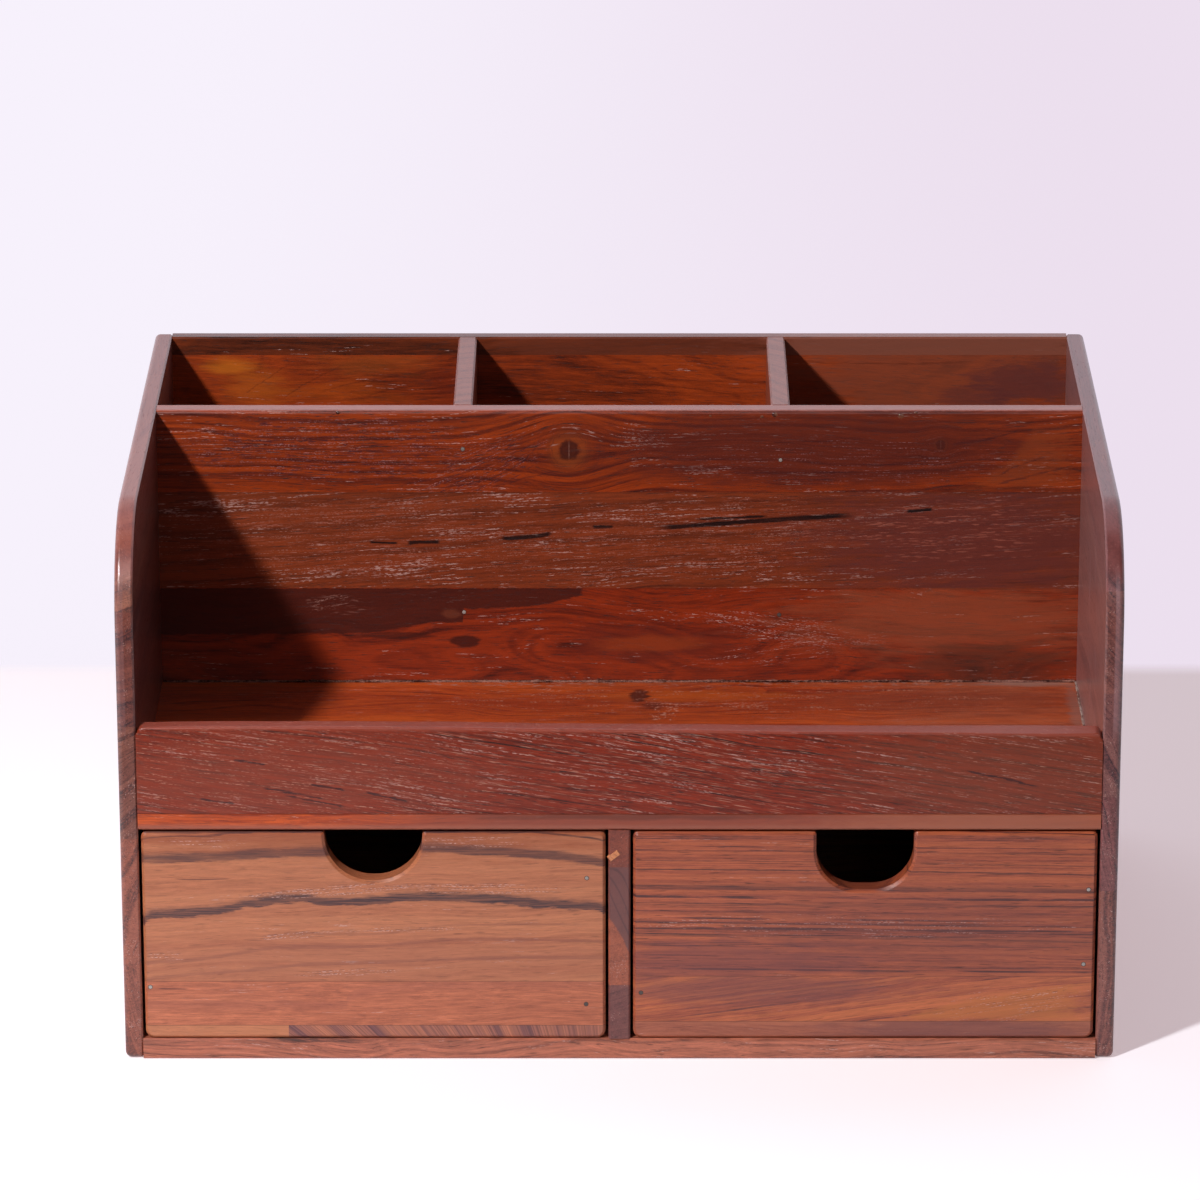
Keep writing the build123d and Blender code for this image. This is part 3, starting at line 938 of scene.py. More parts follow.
@dataclass
class Brads:
    """One group of brads. Lengths are in millimetres: the head, its dome, and the wax round it.

    The wax is what lies between the outline's points numbered in WAX and the next.
    """

    WAX = (4, 5, 6)

    node: str
    body: str
    head_radius: float = 0.72
    dome: float = 0.12
    wax_radius: float = 1.0
    wax_height: float = 0.03
    shank_radius: float = 0.7
    point_length: float = 2.2
    sides: int = 14

    def places(self) -> list[tuple[np.ndarray, np.ndarray, float]]:
        """Finds each brad in the frame.

        Points that share faces get the lowest number among them, again and again, until each brad
        has one number of its own.

        Returns:
            For each brad, its head's middle, the way it was driven and its length.
        """
        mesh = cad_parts[self.node].data
        points = np.zeros(len(mesh.vertices) * 3)
        mesh.vertices.foreach_get("co", points)
        points = points.reshape(-1, 3) / MM
        _, merged = np.unique(np.round(points, 2), axis=0, return_inverse=True)
        corners = np.zeros(len(mesh.loops), int)
        mesh.loops.foreach_get("vertex_index", corners)
        faces = merged.ravel()[corners].reshape(-1, 3)
        label = np.arange(merged.max() + 1)
        before = None
        while before is None or (label != before).any():
            before = label.copy()
            least = label[faces].min(axis=1)
            for corner in range(3):
                np.minimum.at(label, faces[:, corner], least)
        found = []
        for one in np.unique(label):
            own = points[label[merged.ravel()] == one]
            low, high = own.min(0), own.max(0)
            axis = int(np.argmax(high - low))
            middle = (low + high) / 2
            near_low = own[own[:, axis] < low[axis] + 0.1]
            near_high = own[own[:, axis] > high[axis] - 0.1]
            spans = [np.ptp(near, axis=0).max() for near in (near_low, near_high)]
            drive = np.zeros(3)
            drive[axis] = 1.0 if spans[0] > spans[1] else -1.0
            middle[axis] = low[axis] if drive[axis] > 0 else high[axis]
            found.append((middle, drive, high[axis] - low[axis]))
        return found

    def outline(self, length: float) -> np.ndarray:
        """The outline of one brad.

        Args:
            length: How long the brad is.

        Returns:
            Radius and depth below the face from the dome's middle, over the wax, to the point.
        """
        lean = np.linspace(0, 1, 5)
        dome = np.stack([self.head_radius * lean, -self.dome * np.sqrt(1 - lean**2 * 0.98)], 1)
        wax = np.array([[self.head_radius + 0.02, -self.wax_height],
                        [self.wax_radius * 0.85, -self.wax_height], [self.wax_radius, 0.02]])
        neck = length - self.point_length
        shank = np.array([[self.shank_radius, 0.25], [self.shank_radius, neck], [0.02, length]])
        return np.concatenate([dome, wax, shank])

    def build(self, materials: list[bpy.types.Material]) -> bpy.types.Object:
        """Builds the group: the outline turned round each brad's own axis.

        Args:
            materials: The steel and the wax.

        Returns:
            The piece, which stands for the node.
        """
        turn = np.linspace(0, 2 * np.pi, self.sides, endpoint=False)
        points, faces, rows = [], [], []
        for middle, drive, length in self.places():
            outline = self.outline(length)
            side = np.roll(np.abs(drive), 1)
            other = np.cross(drive, side)
            ring = np.cos(turn)[:, None] * side + np.sin(turn)[:, None] * other
            made = middle + outline[:, :1, None].transpose(0, 2, 1) * ring + outline[:, 1, None, None] * drive
            first = sum(len(group) for group in points)
            points.append(made.reshape(-1, 3) * MM)
            faces.append(quads(len(outline), self.sides)[:, ::-1] + first)
            wax_rows = np.isin(np.arange(len(outline) - 1), self.WAX)
            rows.append(np.repeat(wax_rows.astype(int), self.sides))
        made = put_in_scene(f"{self.node}_driven", np.concatenate(points),
                            [tuple(face) for face in np.concatenate(faces)],
                            materials, np.concatenate(rows))
        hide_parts(self.node)
        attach(made, self.body)
        return made


def tube(path: np.ndarray, radius: np.ndarray, sides: int) -> tuple[np.ndarray, list]:
    """Carries a ring of points along a straight path, its radius changing from place to place.

    Args:
        path: The middle of each ring, one row each.
        radius: Each ring's radius.
        sides: How many points are in a ring.

    Returns:
        The points, and the faces as tuples, with both ends closed.
    """
    way = (path[-1] - path[0]) / np.linalg.norm(path[-1] - path[0])
    side = np.cross(way, (0.0, 0.0, 1.0))
    up = np.cross(side, way)
    turn = np.linspace(0, 2 * np.pi, sides, endpoint=False)
    ring = np.cos(turn)[:, None] * side + np.sin(turn)[:, None] * up
    points = (path[:, None, :] + radius[:, None, None] * ring).reshape(-1, 3)
    faces = [tuple(face) for face in quads(len(path), sides)]
    faces.append(tuple(range(sides))[::-1])
    faces.append(tuple(range(len(points) - sides, len(points))))
    return points, faces


@dataclass(frozen=True)
class DriedGlue:
    """White wood glue that squeezed out, dried cloudy and took up sawdust: pale and dark by turns."""

    name: str = "dried glue and sawdust"
    pale: str = "#9a6a5c"
    dark: str = "#34140e"

    def finish(self) -> bpy.types.Material:
        """Makes the material.

        Returns:
            The material: two noises set the pale share, and the finer one its bumps.
        """
        material, tree, place = start_finish(self.name)
        spread = mottled(tree, place, (0.08, 0.3, 0.9), 4.0, 0.7)
        grit = add(tree, "TexNoise", place, Scale=1.1, Detail=3.0, Roughness=0.7)
        share = add(tree, "Math ADD", spread, add(tree, "Math MULTIPLY", grit, 0.5))
        share = add(tree, "MapRange", share, 0.64, 0.86)
        colour = add(tree, "MixRGB", share, self.dark, self.pale)
        bump = add(tree, "Bump", Strength=0.8, Distance=0.0003, Height=grit)
        shader = add(tree, "BsdfPrincipled", Base_Color=colour, Roughness=0.6, Normal=bump,
                     Specular_IOR_Level=0.1)
        add(tree, "OutputMaterial", shader)
        return material


@dataclass
class GlueLine:
    """A thin ragged bead of squeezed-out glue along an inner corner. Lengths are in millimetres."""

    name: str
    start: Triple
    end: Triple
    radius: float = 0.7
    spread: float = 0.5
    step: float = 0.6
    seed: int = 7

    def build(self, material: bpy.types.Material) -> bpy.types.Object:
        """Builds the bead.

        Args:
            material: The dried glue.

        Returns:
            The piece, which rides on the case: a tube whose radius swells and shrinks unevenly.
        """
        start, end = np.array(self.start), np.array(self.end)
        length = np.linalg.norm(end - start)
        share = np.linspace(0, 1, int(length / self.step))
        path = start + share[:, None] * (end - start)
        swell = waves(share * length, 23.0, self.seed) * 0.6 + waves(share * length, 5.0, self.seed + 1) * 0.4
        radius = self.radius * np.clip(1 + self.spread * swell, 0.25, 1.6)
        points, faces = tube(path, radius, 8)
        made = put_in_scene(self.name, points * MM, faces, [material], np.zeros(len(faces)))
        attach(made, "case")
        LOG.info("ran %s", self.name)
        return made


@dataclass
class VarnishDrips:
    """Small hard drips of varnish along the worn top arris of the tray wall.

    Each is given by its place along X, its drop below the arris and its radius in millimetres. It is
    a ball, stretched along the wall and flattened against it, whose middle is sunk into the wall.
    """

    drips: tuple[Triple, ...] = (
        (-111.4, 0.5, 0.9), (29.0, 1.2, 0.6), (36.0, 1.6, 0.9), (42.0, 1.3, 0.7), (56.5, 2.0, 1.0),
        (61.6, 1.2, 1.2), (64.0, 2.0, 0.7), (111.6, 1.7, 1.3), (117.5, 0.6, 0.8), (-64.0, 2.4, 0.6),
        (-20.0, 1.0, 0.5), (88.0, 1.4, 0.6))
    rings: int = 7
    sides: int = 12
    stretch: float = 1.25
    flatness: float = 0.45
    sunk: float = 0.35
    arris: float = 0.6

    def build(self, material: bpy.types.Material) -> bpy.types.Object:
        """Builds all the drips as one piece: rings by latitude round each given place.

        Args:
            material: The varnish.

        Returns:
            The piece, which rides on the case.
        """
        low, high = (np.array(corner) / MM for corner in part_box("tray_back_wall_strip_3"))
        tilt = np.linspace(0.05, np.pi - 0.05, self.rings)
        turn = np.linspace(0, 2 * np.pi, self.sides, endpoint=False)
        ball = np.stack([np.sin(tilt)[:, None] * np.cos(turn), -np.cos(tilt)[:, None] * np.ones(self.sides),
                         np.sin(tilt)[:, None] * np.sin(turn)], axis=-1).reshape(-1, 3)
        ball *= (self.stretch, self.flatness, 1.0)
        drips = np.array(self.drips)
        front = np.full(len(drips), low[1] + self.sunk)
        middles = np.stack([drips[:, 0], front, high[2] - self.arris - drips[:, 1]], axis=1)
        points = (middles[:, None, :] + drips[:, 2, None, None] * ball).reshape(-1, 3)
        grid = quads(self.rings, self.sides)
        caps = [tuple(range(self.sides))[::-1], tuple(range(len(ball) - self.sides, len(ball)))]
        faces = [tuple(np.array(face) + place * len(ball)) for place in range(len(drips))
                 for face in [*map(tuple, grid), *caps]]
        made = put_in_scene("varnish_drips", points * MM, faces, [material], np.zeros(len(faces)))
        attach(made, "case")
        LOG.info("dripped varnish_drips")
        return made


@dataclass
class Splinter:
    """The chip of pale wood that was glued over a dent in the post. Lengths are in millimetres."""

    at: Pair = (-2.1, 84.2)
    size: Triple = (5.0, 0.7, 2.6)
    turn: float = 38.0
    bevel: float = 0.25

    def build(self, material: bpy.types.Material) -> bpy.types.Object:
        """Builds the chip.

        Args:
            material: The chip's wood.

        Returns:
            The piece, which rides on the case: a slab with a smaller outer face, turned in the
            plane of the front.
        """
        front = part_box("centre_post_strip_3")[0][1] / MM
        half = np.array(self.size) / 2
        signs = np.array([(-1, -1), (1, -1), (1, 1), (-1, 1)])
        chipped = np.array([[1.0, 1.0], [0.92, 1.0], [1.0, 0.8], [0.9, 1.0]])
        outer = signs * (half[[0, 2]] - self.bevel) * chipped
        flat = np.concatenate([outer, signs * half[[0, 2]]])
        angle = math.radians(self.turn)
        turned = flat @ np.array([[math.cos(angle), math.sin(angle)], [-math.sin(angle), math.cos(angle)]])
        depth = np.repeat([front - half[1], front + half[1]], 4)
        points = np.stack([self.at[0] + turned[:, 0], depth, self.at[1] + turned[:, 1]], axis=1)
        faces = [(0, 1, 2, 3), (7, 6, 5, 4), *((i, i + 4, (i + 1) % 4 + 4, (i + 1) % 4) for i in range(4))]
        made = put_in_scene("post_splinter", points * MM, faces, [material], np.zeros(len(faces)))
        made.data.polygons.foreach_set("use_smooth", np.zeros(len(faces), bool))
        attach(made, "case")
        LOG.info("glued post_splinter")
        return made


@dataclass(frozen=True)
class ThickVarnish:
    """Varnish that ran together and set: dark amber, wet-looking, catching small white glints."""

    shade: str = "#4a2016"

    def finish(self) -> bpy.types.Material:
        """Makes the material.

        Returns:
            The material: smooth, with a full clear coat.
        """
        material, tree, place = start_finish("thick amber varnish")
        cloud = add(tree, "TexNoise", place, Scale=0.12, Detail=2.0)
        share = add(tree, "MapRange", cloud, 0.45, 0.62)
        colour = add(tree, "MixRGB", share, self.shade, "#a0664a")
        shader = add(tree, "BsdfPrincipled", Base_Color=colour, Roughness=0.22, Coat_Weight=1.0,
                     Coat_Roughness=0.05)
        add(tree, "OutputMaterial", shader)
        return material


class Softening:
    """Smooth shading over the small rounds of the boards' edges, as varnish and handling give.

    Points nearer to each other than NEAR, in metres, are one point.
    """

    NEAR = 0.000002

    def __init__(self, angle: float = 40.0) -> None:
        """Makes the shared group, which merges points and smooths faces.

        Args:
            angle: An edge that turns more than this, in degrees, stays sharp.
        """
        self.group = bpy.data.node_groups.new("soft edges", "GeometryNodeTree")
        for side in ("INPUT", "OUTPUT"):
            self.group.interface.new_socket("Geometry", in_out=side, socket_type="NodeSocketGeometry")
        kinds = ("NodeGroupInput", "GeometryNodeMergeByDistance", "GeometryNodeSetShadeSmooth",
                 "GeometryNodeInputMeshEdgeAngle", "FunctionNodeCompare", "GeometryNodeSetShadeSmooth",
                 "NodeGroupOutput")
        given, merged, smooth, turn, sharp, edges, out = (self.group.nodes.new(kind) for kind in kinds)
        merged.inputs["Distance"].default_value = self.NEAR
        sharp.operation = "GREATER_THAN"
        sharp.inputs[1].default_value = math.radians(angle)
        edges.domain = "EDGE"
        edges.inputs["Shade Smooth"].default_value = False
        for start, end in ((given.outputs[0], merged.inputs["Geometry"]),
                           (merged.outputs[0], smooth.inputs["Geometry"]),
                           (turn.outputs["Unsigned Angle"], sharp.inputs[0]),
                           (smooth.outputs[0], edges.inputs["Geometry"]),
                           (sharp.outputs[0], edges.inputs["Selection"]), (edges.outputs[0], out.inputs[0])):
            self.group.links.new(start, end)

    def soften(self, made: bpy.types.Object) -> None:
        """Adds the group to a piece, and normals weighted by face area after it."""
        made.modifiers.new("soft edges", "NODES").node_group = self.group
        weighted = made.modifiers.new("weighted normals", "WEIGHTED_NORMAL")
        weighted.keep_sharp = True


@dataclass
class Assembly:
    """What every sub-assembly shares: the wood's figure and the soft edges."""

    figure: FigureGroup
    softening: Softening

    def plane(self, board: WornBoard, finish: Teak) -> None:
        """Puts a hand-planed board in the place of its node, in the node's finish."""
        board.build(finish.finish(self.figure))
        LOG.info("planed %s", board.node)

    def dress(self, node: str, finish: Teak) -> None:
        """Gives a board its finish and soft edges.

        Args:
            node: The board's name in the frame.
            finish: The board's wood.
        """
        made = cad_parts[node]
        made.data.materials.clear()
        made.data.materials.append(finish.finish(self.figure))
        self.softening.soften(made)
        LOG.info("dressed %s", node)


@dataclass
class Drawers(Assembly):
    """Both drawers: three glued strips in each front, and plain boards behind it.

    The seams are the heights of the glue lines in a front, the lower one first.
    """

    LEFT_SEAMS = (Seam(14.1), Seam(32.4))
    RIGHT_SEAMS = (Seam(15.7), Seam(34.5))

    def left_front(self) -> None:
        """Dresses the left front: light orange brown with dark wavy mineral lines."""
        upper_line = Streak(((-182, 82.4), (-161, 82.9), (-151, 83.4), (-138, 84.4), (-112, 85.3),
                             (-74, 86.8), (-61, 86.2), (-37, 84.7), (-25, 83.8), (-13, 82), (-6, 80.6)),
                            above=3.8, below=2.0, strength=0.95, jag=0.9, fray=0.5, shade="#522e2c")
        main_line = Streak(((-182, 56.4), (-176, 59.2), (-165, 59.7), (-156, 60.6), (-138, 64.2),
                            (-123, 65.8), (-112, 64.3), (-93, 64.9), (-83, 66.4), (-67, 66.1),
                            (-46, 65.5), (-37, 64.4), (-13, 62.9), (-6, 61.2)),
                           above=4.4, below=1.4, strength=1.0, jag=1.1, fray=0.45, shade="#38222a")
        faint = (
            Streak(((-182, 39.6), (-162, 41.2), (-144, 44.1), (-127, 46.4), (-97, 46.4), (-83, 47.8),
                    (-70, 49.1), (-49, 49.5), (-7, 48.6)), above=1.4, below=0.6, strength=0.4,
                   jag=0.4, fray=0.5, shade="#743c36"),
            Streak(((-182, 32.9), (-168, 34.6), (-148, 36.2), (-133, 37.5), (-118, 39.1), (-85, 40.4),
                    (-67, 41.2), (-37, 41.9), (-7, 41.9)), above=1.6, below=0.6, strength=0.44,
                   jag=0.4, fray=0.5, shade="#743c36"),
            Streak(((-143, 48.2), (-121, 52), (-97, 51.5), (-85, 52.8), (-70, 54.8), (-55, 55.7),
                    (-7, 55.7)), above=0.9, below=0.5, strength=0.34, jag=0.5, shade="#6b3630", taper=0.1),
            Streak(((-182, 90.2), (-170, 92), (-159, 92), (-147, 93.2), (-117, 93.6)), above=0.7,
                   below=0.4, strength=0.85, jag=0.3, shade="#5c2a24"),
            Streak(((-34, 93.4), (-22, 92.6), (-13, 91.6), (-6, 90.2)), above=0.7, below=0.4,
                   strength=0.9, jag=0.3, shade="#3a2022"),
            Streak(((-171, 74.6), (-159, 74.4), (-147, 75.2)), above=0.4, below=0.3, strength=0.8,
                   jag=0.1, shade="#5a2620", taper=0.2),
        )
        drifts = (
            *open_pores((-112, 69.3), (46, 3.0), slope=4.0, share=1.0),
            *open_pores((-55, 70.5), (46, 3.0), slope=-1.0, share=0.9),
            Chalk((-160, 89.0), (24, 3.0), share=0.6),
            *open_pores((-126, 51.0), (20, 2.0), slope=6.0, share=1.0),
            *open_pores((-85, 53.6), (40, 1.4), slope=2.0, share=0.9),
            Chalk((-60, 89.5), (34, 3.6), share=0.6),
            *open_pores((-105, 35.8), (30, 1.8), slope=3.0, share=1.0),
            *open_pores((-174, 42.5), (10, 3.0), share=0.8),
        )
        self.dress("left_drawer_front_strip_3", Teak(
            "teak, light with mineral lines", "#c0754f", "#ab6040", "#834733", pith=(0, 40, 70),
            tilt=(-1.5, 0), band=11, depth=0.45, line=0.15, pores=0.4, chalk=0.2, wander=6,
            features=(Stain((-94, 93), (105, 9), "#964624", 0.6, soft=1.3),
                      Stain((-90, 40), (115, 9), "#a05a44", 0.3, soft=1.3), *faint, upper_line, main_line,
                      *drifts, self.LEFT_SEAMS[1])))
        self.dress("left_drawer_front_strip_2", Teak(
            "teak, pinkish plain", "#cf7a56", "#b76444", "#954d38", pith=(60, -10, 20), band=14,
            depth=0.55, line=0.1, pores=0.35, chalk=0.2, wander=10,
            features=(Streak(((-105, 24), (-88, 31), (-52, 32.6), (-7, 33)), above=0.5, below=5.0,
                             strength=0.28, jag=1.0, fray=0.2, shade="#8e4a3e"),
                      Streak(((-178, 29.3), (-165, 29)), strength=0.8, jag=0.2, above=0.5, below=0.4,
                             shade="#4a2420", taper=0.2), *self.LEFT_SEAMS[::-1])))
        self.dress("left_drawer_front_strip_1", Teak(
            "teak, pieced strip", "#bf7650", "#aa6040", "#7c4030", pith=(0, 80, 10), band=9, depth=0.4,
            line=0.2, pores=0.3, chalk=0.1,
            features=(Splice(-127.3, 0, "#b0694e", "#744646", spacing=9.0), self.LEFT_SEAMS[0])))

    def right_front(self) -> None:
        """Dresses the right front: redder, with fine straight lines and a slanting bright figure."""
        lines = tuple(
            Streak(((5, left), (60, middle), (183, right)), above=above, below=0.35, strength=strength,
                   jag=0.25, fray=fray, shade="#3c2022")
            for left, middle, right, above, strength, fray in (
                (86.2, 86.0, 84.4, 0.4, 0.45, 0.3),
                (82.2, 81.8, 79.6, 0.4, 0.5, 0.3),
                (78.6, 78.2, 76.2, 0.5, 0.8, 0.2),
                (70.6, 70.2, 68.8, 3.0, 0.5, 0.4),
                (63.8, 63.6, 62.6, 2.2, 0.5, 0.8),
                (56.9, 56.2, 54.4, 0.6, 0.9, 0.8),
                (54.2, 53.5, 51.6, 0.6, 0.85, 0.8),
                (51.4, 50.6, 48.2, 1.6, 0.6, 0.8),
                (48.4, 47.6, 46.0, 0.5, 0.6, 0.9),
            ))
        self.dress("right_drawer_front_strip_3", Teak(
            "teak, quarter cut", "#b45b38", "#9a4931", "#542a27", pith=(0, 300, 0), tilt=(0.5, 0),
            band=2.6, depth=0.6, line=1.0, pores=0.7, chalk=0.1, wander=0.8,
            features=(*lines, *open_pores((90, 55.0), (120, 7.0), slope=-1.0, share=0.6),
                      Stain((120, 52), (70, 16), "#6c3230", 0.35, soft=1.2),
                      Stain((40, 40), (50, 8), "#70383a", 0.5, soft=1.2), self.RIGHT_SEAMS[1])))
        self.dress("right_drawer_front_strip_2", Teak(
            "teak, slanting figure", "#c0663c", "#9e4c34", "#643530", pith=(0, 140, 10), tilt=(-7, 0),
            band=3.4, depth=0.6, line=0.6, pores=0.4, chalk=0.1, wander=3,
            features=(Patch(((104, 15), (183, 15)), ((104, 17), (130, 25), (150, 29), (183, 33)),
                            "#c06c34", 0.7, edge=3.0, ends=16, ragged=1.2),
                      *open_pores((150, 23), (44, 10), slope=9, share=0.5),
                      Stain((50, 29), (55, 6), "#6e3a3c", 0.5, soft=1.0), *self.RIGHT_SEAMS[::-1])))
        self.dress("right_drawer_front_strip_1", Teak(
            "teak, dull brown", "#af6246", "#98503b", "#6f3a37", pith=(0, 90, 10), band=8, depth=0.4,
            line=0.2, pores=0.3, chalk=0.05,
            features=(Stain((130, 12), (45, 6), "#74403e", 0.6, soft=1.0), self.RIGHT_SEAMS[0])))

    def boxes(self) -> None:
        """Dresses the boards behind the fronts."""
        for side, shift in (("left", 0.0), ("right", 170.0)):
            for board, grain, place in (("left_wall", Grain.DEEP, 10), ("right_wall", Grain.DEEP, 50),
                                        ("back_wall", Grain.ACROSS, 90), ("bottom", Grain.ACROSS, 130)):
                self.dress(f"{side}_drawer_{board}", Teak(
                    f"teak, {side} drawer {board.replace('_', ' ')}", "#b27048", "#965636", "#5e3426",
                    grain=grain, pith=(place + shift, 60 + place, 30), band=5, depth=0.55, line=0.3,
                    pores=0.5, chalk=0.1))

    def build(self) -> None:
        """Dresses every board."""
        self.left_front()
        self.right_front()
        self.boxes()


@dataclass
class Tray(Assembly):
    """The tray over the drawers: its lip, its floor and its back wall of three glued strips.

    Its boards reach from end to end. The seams are the glue lines in the wall, the lower one first.
    """

    ENDS = (-184, 184)
    WALL_SEAMS = (Seam(140.8), Seam(181.2))

    def lip(self) -> None:
        """Dresses the lip: red brown, its grain falling to the right, its pores full of chalk, its top
        lighter with a painted sheen.
        """
        worn = WornBoard(
            "tray_front_lip", "lip_wood",
            front=((0, -0.3), (0.2, 0.1), (0.6, -1.7), (0.85, -2.7), (0.93, -3.2), (1, -2.8)),
            rear=((0, -0.5), (0.2, 0.0), (0.6, -1.5), (0.85, -2.0), (0.93, -1.4), (1, -2.2)),
            front_round=1.1, rear_round=0.8, corner=2.6, seed=4)
        marks = tuple(
            Streak(points, above=0.7, below=0.5, strength=0.9, jag=0.6, fray=0.5, shade="#24141a", taper=0.1)
            for points in (((-136, 111.8), (-112, 107.2)), ((-128, 108.6), (-104, 104.0)),
                           ((-147, 123.2), (-134, 121.2)), ((-97, 110.0), (-80, 106.2)),
                           ((-118, 113.4), (-104, 110.8)), ((-160, 107.6), (-146, 105.2)),
                           ((131, 118.7), (146, 115.5), (160, 112.2))))
        chalk = tuple(
            Chalk(at, size, slope=slope, share=share, dash=dash, row=16, shade="#c08974", strength=0.7)
            for at, size, slope, share, dash in (
                ((-120, 119), (110, 40), -7, 0.6, (1.6, 0.3)), ((10, 121), (130, 40), -10, 0.6, (4.6, 0.3)),
                ((20, 126), (90, 14), -10, 0.4, (3.6, 0.3)), ((140, 122), (90, 40), -9, 0.4, (2.0, 0.3))))
        # Painted sheen: the lip's top face and upper arris lighter and browner, as the light falls on them
        # from above.
        top = Patch(((-184, 135.0), (-184, 135.0), (-110, 134.8), (0, 133.6), (112, 133.2), (184, 132.0)),
                    ((-184, 142), (184, 142)), "#9b4531", 0.7, edge=0.9, ends=0.5, ragged=0.3)
        self.plane(worn, Teak(
            "teak, red with slanting pores", "#8a2809", "#772006", "#330f09", pith=(0, 110, 60),
            tilt=(9, 0), band=2.0, depth=0.7, line=0.6, pores=1.0, chalk=0.5, wander=4, gloss=0.2,
            features=(Stain((-130, 116), (80, 18), "#8d402c", 0.5, soft=1.4),
                      Stain((150, 118), (60, 24), "#85452f", 0.45, soft=1.4), *chalk, *marks, top)))

    def floor(self) -> None:
        """Dresses the shelf: a bright orange board, whose front edge turns brown along the lip."""
        self.dress("shelf_board", Teak(
            "teak, bright orange", "#ca5316", "#a73a10", "#611e0c", pith=(0, 60, -60), band=3,
            depth=0.6, line=0.5, pores=0.5, chalk=0.35, wander=9,
            features=(straight_patch((-140, 260), (92, 101.2), "#8c4534", 0.85, edge=0.4, ends=110,
                                     ragged=0.1),
                      Patch(((-240, 92), (260, 92)), ((-240, 98), (260, 97)), "#a4604c", 0.7, edge=2.4,
                            ends=50),
                      Stain((150, 97), (60, 7), "#b86e50", 0.45, soft=1.3),
                      Stain((4, 100), (60, 1.2), "#4e2218", 0.5, soft=1.2), *self.spills())))

    def spills(self) -> tuple[Feature, ...]:
        """Lists what was spilt on the shelf before the varnish.

        Returns:
            Redder clouds and a dark drip, then glue haze, then what gathered at the shelf's edges.
        """
        clouds, edges = (
            tuple(Stain(at, size, shade, strength, soft=soft, ragged=0.8, face=Face.TOP)
                  for at, size, shade, strength, soft in rows)
            for rows in (
                (((-60, -6), (50, 9), "#8a2c10", 0.45, 1.4), ((120, -2), (70, 16), "#7c2a16", 0.5, 1.4),
                 ((30, 4), (30, 6), "#d8640f", 0.4, 1.4), ((8, 4), (3.2, 6.5), "#3a120c", 0.9, 0.7),
                 ((13, -8), (5, 4.0), "#52180e", 0.7, 1.0)),
                (((166, 18), (26, 2.6), "#a5877a", 0.6, 1.4), ((181, -10), (2.4, 30), "#9c7468", 0.5, 1.4))))
        haze = tuple(
            Chalk(at, size, share=share, dash=dash, row=row, shade=shade, strength=strength, face=Face.TOP)
            for at, size, share, dash, row, shade, strength in (
                ((17, -16), (9, 12), 1.2, (1.6, 3.0), 4, "#d39a82", 0.8),
                ((40, 0), (170, 24), 0.6, (1.2, 1.4), 12, "#c98a72", 0.7),
                ((40, 17), (170, 5), 1.0, (3.0, 1.6), 9, "#b58070", 0.7)))
        return (*clouds, *haze, *edges)

    def wall_top(self) -> None:
        """Dresses the wall's top strip: fine streaks that bow round a knot, a bright wedge at the right, and
        a painted sheen on its top face.
        """
        knots = (Knot((-20, 199), 4.3, halo=4.2, heart="#43180f"),
                 Knot((127.5, 201.3), 2.2, halo=2.4, heart="#34130f"))
        swirls = tuple(
            Streak(points, above=0.8, below=0.4, strength=0.6, jag=0.7, fray=0.7, shade="#34161c", taper=0.12)
            for points in (((-180, 204), (-120, 203), (-76, 206)), ((-168, 198), (-130, 199.4), (-88, 196.5)),
                           ((-160, 191), (-110, 189), (-60, 191)), ((-92, 184), (-60, 190), (-38, 199)),
                           ((-75, 183), (-45, 190), (-30, 207)), ((-52, 183), (-34, 188), (-24, 190)),
                           ((40, 189.5), (56, 189.5), (98, 189.8)), ((60, 186.6), (86, 186.6)),
                           ((60, 202), (86, 202.6)), ((90, 193), (110, 193.5), (128, 197)),
                           ((130, 201), (146, 203.5), (160, 208)), ((150, 188), (160, 193), (170, 196)),
                           ((148, 184), (166, 189), (182, 193))))
        clouds = tuple(
            Chalk(at, size, slope=slope, share=share, dash=dash, row=14, shade=shade, strength=strength)
            for at, size, slope, share, dash, shade, strength in (
                ((-115, 200), (80, 20), 0, 0.9, (3.0, 0.6), "#452029", 0.75),
                ((-52, 192), (34, 14), 25, 0.9, (2.6, 0.5), "#452029", 0.75),
                ((-115, 200), (90, 20), 0, 0.55, (0.8, 0.3), "#b98888", 0.7),
                ((-55, 192), (44, 14), 25, 0.5, (0.8, 0.3), "#b98888", 0.7),
                ((90, 194), (100, 14), 0, 0.4, (0.8, 0.3), "#b98888", 0.7)))
        wedge = Patch(((127, 180), (184, 180)),
                      ((127, 181), (142.9, 188.7), (155, 198.3), (164, 210), (184, 212)),
                      "#94431f", 0.5, edge=7.0, ends=14, ragged=2.0)
        # Painted sheen: the wall's top face and arris lighter and pinker, as the light falls on them from
        # above.
        top = straight_patch(self.ENDS, (214.9, 218), "#b0695a", 0.75, edge=0.6, ragged=0.2)
        self.dress("tray_back_wall_strip_3", Teak(
            "teak, streaked round a knot", "#9e3a0e", "#702610", "#351113", pith=(0, -150, 60),
            tilt=(-1, 0), band=2.0, depth=0.6, line=0.55, pores=0.9, chalk=0.45, wander=5,
            features=(*knots, Stain((80, 200), (84, 17), "#5a221a", 0.75, soft=0.9, ragged=0.3), wedge,
                      *swirls, *clouds, top, self.WALL_SEAMS[1])))

